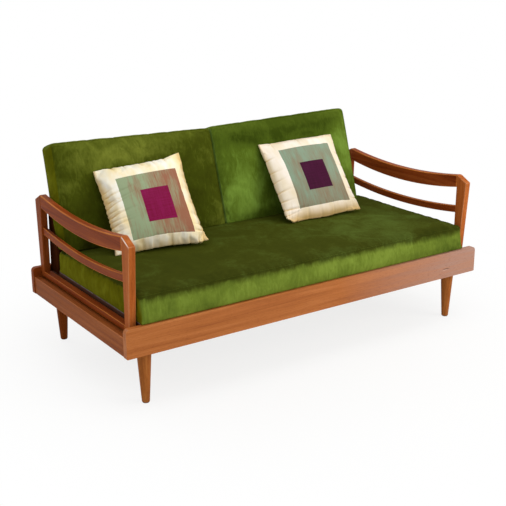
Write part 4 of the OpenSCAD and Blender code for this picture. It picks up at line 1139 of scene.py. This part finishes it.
def tree_of(made):
    return BVHTree.FromPolygons([v.co for v in made.data.vertices], [p.vertices for p in made.data.polygons])


LEFT_PUCKERS = {
    "left": (
        (0.70, 0.05, 0.010, 0.005, 0.12), (0.635, 0.15, 0.009, 0.006, 0.20), (0.575, 0.10, 0.009, 0.007, 0.16),
        (0.52, 0.20, 0.010, 0.008, 0.22), (0.465, 0.05, 0.009, 0.008, 0.13), (0.415, 0.12, 0.010, 0.009, 0.20),
        (0.365, 0.00, 0.009, 0.008, 0.15), (0.31, 0.10, 0.010, 0.008, 0.18), (0.25, 0.00, 0.010, 0.006, 0.14),
        (0.18, 0.05, 0.012, 0.006, 0.14), (0.62, 0.22, 0.007, 0.0025, 0.42), (0.54, 0.26, 0.007, 0.0025, 0.40),
    ),
    "high": (
        (0.20, 0.10, 0.012, 0.004, 0.10), (0.34, -0.05, 0.010, 0.003, 0.12), (0.52, 0.10, 0.012, 0.004, 0.10),
        (0.66, 0.05, 0.010, 0.003, 0.14), (0.80, -0.10, 0.010, 0.004, 0.10),
    ),
    "right": (
        (0.12, 0.10, 0.010, 0.007, 0.13), (0.19, 0.00, 0.009, 0.006, 0.10), (0.30, 0.05, 0.012, 0.004, 0.08),
        (0.48, -0.05, 0.010, 0.004, 0.07), (0.66, 0.00, 0.012, 0.003, 0.07),
    ),
    "low": (
        (0.95, 0.25, 0.009, 0.008, 0.14), (0.90, 0.10, 0.009, 0.007, 0.10), (0.80, 0.00, 0.012, 0.004, 0.10),
        (0.60, 0.05, 0.008, 0.004, 0.14), (0.40, 0.00, 0.012, 0.004, 0.10),
    ),
}
RIGHT_PUCKERS = {
    "left": (
        (0.78, 0.10, 0.012, 0.006, 0.10), (0.62, 0.05, 0.012, 0.005, 0.12), (0.50, 0.15, 0.010, 0.005, 0.12),
        (0.37, 0.10, 0.011, 0.006, 0.14), (0.26, 0.00, 0.010, 0.006, 0.12), (0.16, -0.10, 0.012, 0.008, 0.24),
        (0.09, 0.05, 0.010, 0.007, 0.16),
    ),
    "low": (
        (0.05, 0.20, 0.010, 0.008, 0.12), (0.12, 0.30, 0.010, 0.006, 0.12), (0.28, 0.05, 0.014, 0.004, 0.12),
        (0.45, -0.05, 0.012, 0.004, 0.10), (0.62, 0.05, 0.012, 0.004, 0.12), (0.80, 0.00, 0.012, 0.004, 0.10),
        (0.92, -0.10, 0.010, 0.006, 0.12),
    ),
    "right": (
        (0.15, 0.05, 0.010, 0.006, 0.10), (0.28, 0.00, 0.010, 0.005, 0.08), (0.42, 0.05, 0.012, 0.005, 0.08),
        (0.58, 0.00, 0.010, 0.004, 0.08), (0.74, 0.05, 0.012, 0.004, 0.07),
    ),
    "high": ((0.15, 0.05, 0.012, 0.004, 0.10), (0.5, 0.0, 0.014, 0.003, 0.10)),
}
silk_back = silk("cream_silk_back", ("#f0e2b4", "#e0c98c"))
mattress_solid = tree_of(mattress)
# Each pillow: name, width, place, turns about X, Y and Z in degrees, the cushion behind it, body,
# what silk() takes after the name, bows, puckers and corners.
for name, wide, at, turn, behind, body, tones, bows, puckers, corners in (
    ("left_pillow", 0.413, (-0.508, 0.12905, 0.661946), (-35.6, -6.2, -14.1), "left_back_cushion", "left_pillow_body",
     (("#fffcf0", "#fae6b2"), ("#96a683", "#98664e"), ("#740830", "#8a1652"), (0.72, -0.08, -0.34),
      (0.188, 0.867, 0.112, 0.807), (0.400, 0.7165, 0.262, 0.6185)),
     (("left", 0.006, 0.7, 0.03), ("high", 0.007, 0.1, 0.03), ("right", 0.004, 0.8, 0.045), ("low", 0.010, 0.5, 0.035)),
     LEFT_PUCKERS,
     (((1, 0), 0.34, (0, -0.008, -0.026)), ((1, 1), 0.10, (0.001, 0, 0.012)), ((0, 1), 0.14, (0, 0, -0.004)),
      ((0, 0), 0.10, (-0.010, 0, 0)), ((0.45, 0), 0.25, (0, -0.012, -0.006)), ((1, 0), 0.05, (0.004, -0.012, 0.004)))),
    ("right_pillow", 0.431, (0.402, 0.138242, 0.658696), (-37.4, -2.5, -5.7), "right_back_cushion", "right_pillow_body",
     (("#fbf1e6", "#eedfc2"), ("#869a84", "#8a7860"), ("#360622", "#460d33"), (0.04, -0.26, 0.09),
      (0.190, 0.884, 0.126, 0.870), (0.370, 0.696, 0.315, 0.6585)),
     (("left", 0.012, 0.5, 0.03), ("high", 0.015, 0.4, 0.025), ("right", 0.002, 0.3, 0.02), ("low", 0.010, 0.9, 0.085)),
     RIGHT_PUCKERS,
     (((0, 0), 0.13, (-0.010, -0.016, -0.006)), ((0, 0), 0.045, (0.016, -0.006, 0.012)),
      ((0, 1), 0.08, (-0.002, 0, 0.004)), ((0.5, 0), 0.16, (0, -0.006, -0.006)))),
):
    points, quads, sheets, uv, rim = stuffed_cover(wide, PILLOW_COUNT)
    points = swollen(points, quads, rim, PILLOW_PRESSURE, PILLOW_MOST_SWELL,
                     frames=PILLOW_FRAMES, looseness=PILLOW_LOOSENESS, bending=PILLOW_BENDING)
    mesh = mesh_of("silk_" + name, points, [], quads)
    cover = mesh.uv_layers.new(name="cover")
    for polygon in mesh.polygons:
        polygon.material_index = sheets[polygon.index]
        polygon.use_smooth = True
        for loop in polygon.loop_indices:
            cover.data[loop].uv = uv[mesh.loops[loop].vertex_index]
    mesh.materials.append(silk("slubbed_silk_" + name, *tones))
    mesh.materials.append(silk_back)
    pillow = added("silk_" + name, mesh)
    mesh = smoothed(pillow).data
    fine_uv = np.zeros((len(mesh.vertices), 2))
    for loop, place in zip(mesh.loops, mesh.uv_layers["cover"].data):
        fine_uv[loop.vertex_index] = place.uv
    points, fold_shade = puckered(points_of(mesh), fine_uv, bows, puckers, corners)
    # The painted shade of folds and rims is stored on the points for the silk to darken them.
    mesh.attributes.new("fold_shade", "FLOAT", "POINT").data.foreach_set("value", fold_shade)
    place = Matrix.Translation(at)
    for axis, degrees in zip("ZXY", (turn[2], turn[0], turn[1])):
        place = place @ Matrix.Rotation(math.radians(degrees), 4, axis)
    points = np.array([place @ Vector(p) for p in points])
    points = seated(points, tree_of(cushion_shapes[behind]), (0, -math.cos(LEAN), math.sin(LEAN)))
    points = seated(points, mattress_solid, (0, 0, 1))
    mesh.vertices.foreach_set("co", points.reshape(-1))
    mesh.update()
    fixed(pillow, body, [name])

size = {"cad": cad_box, "visual": [list(corner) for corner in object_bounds()]}
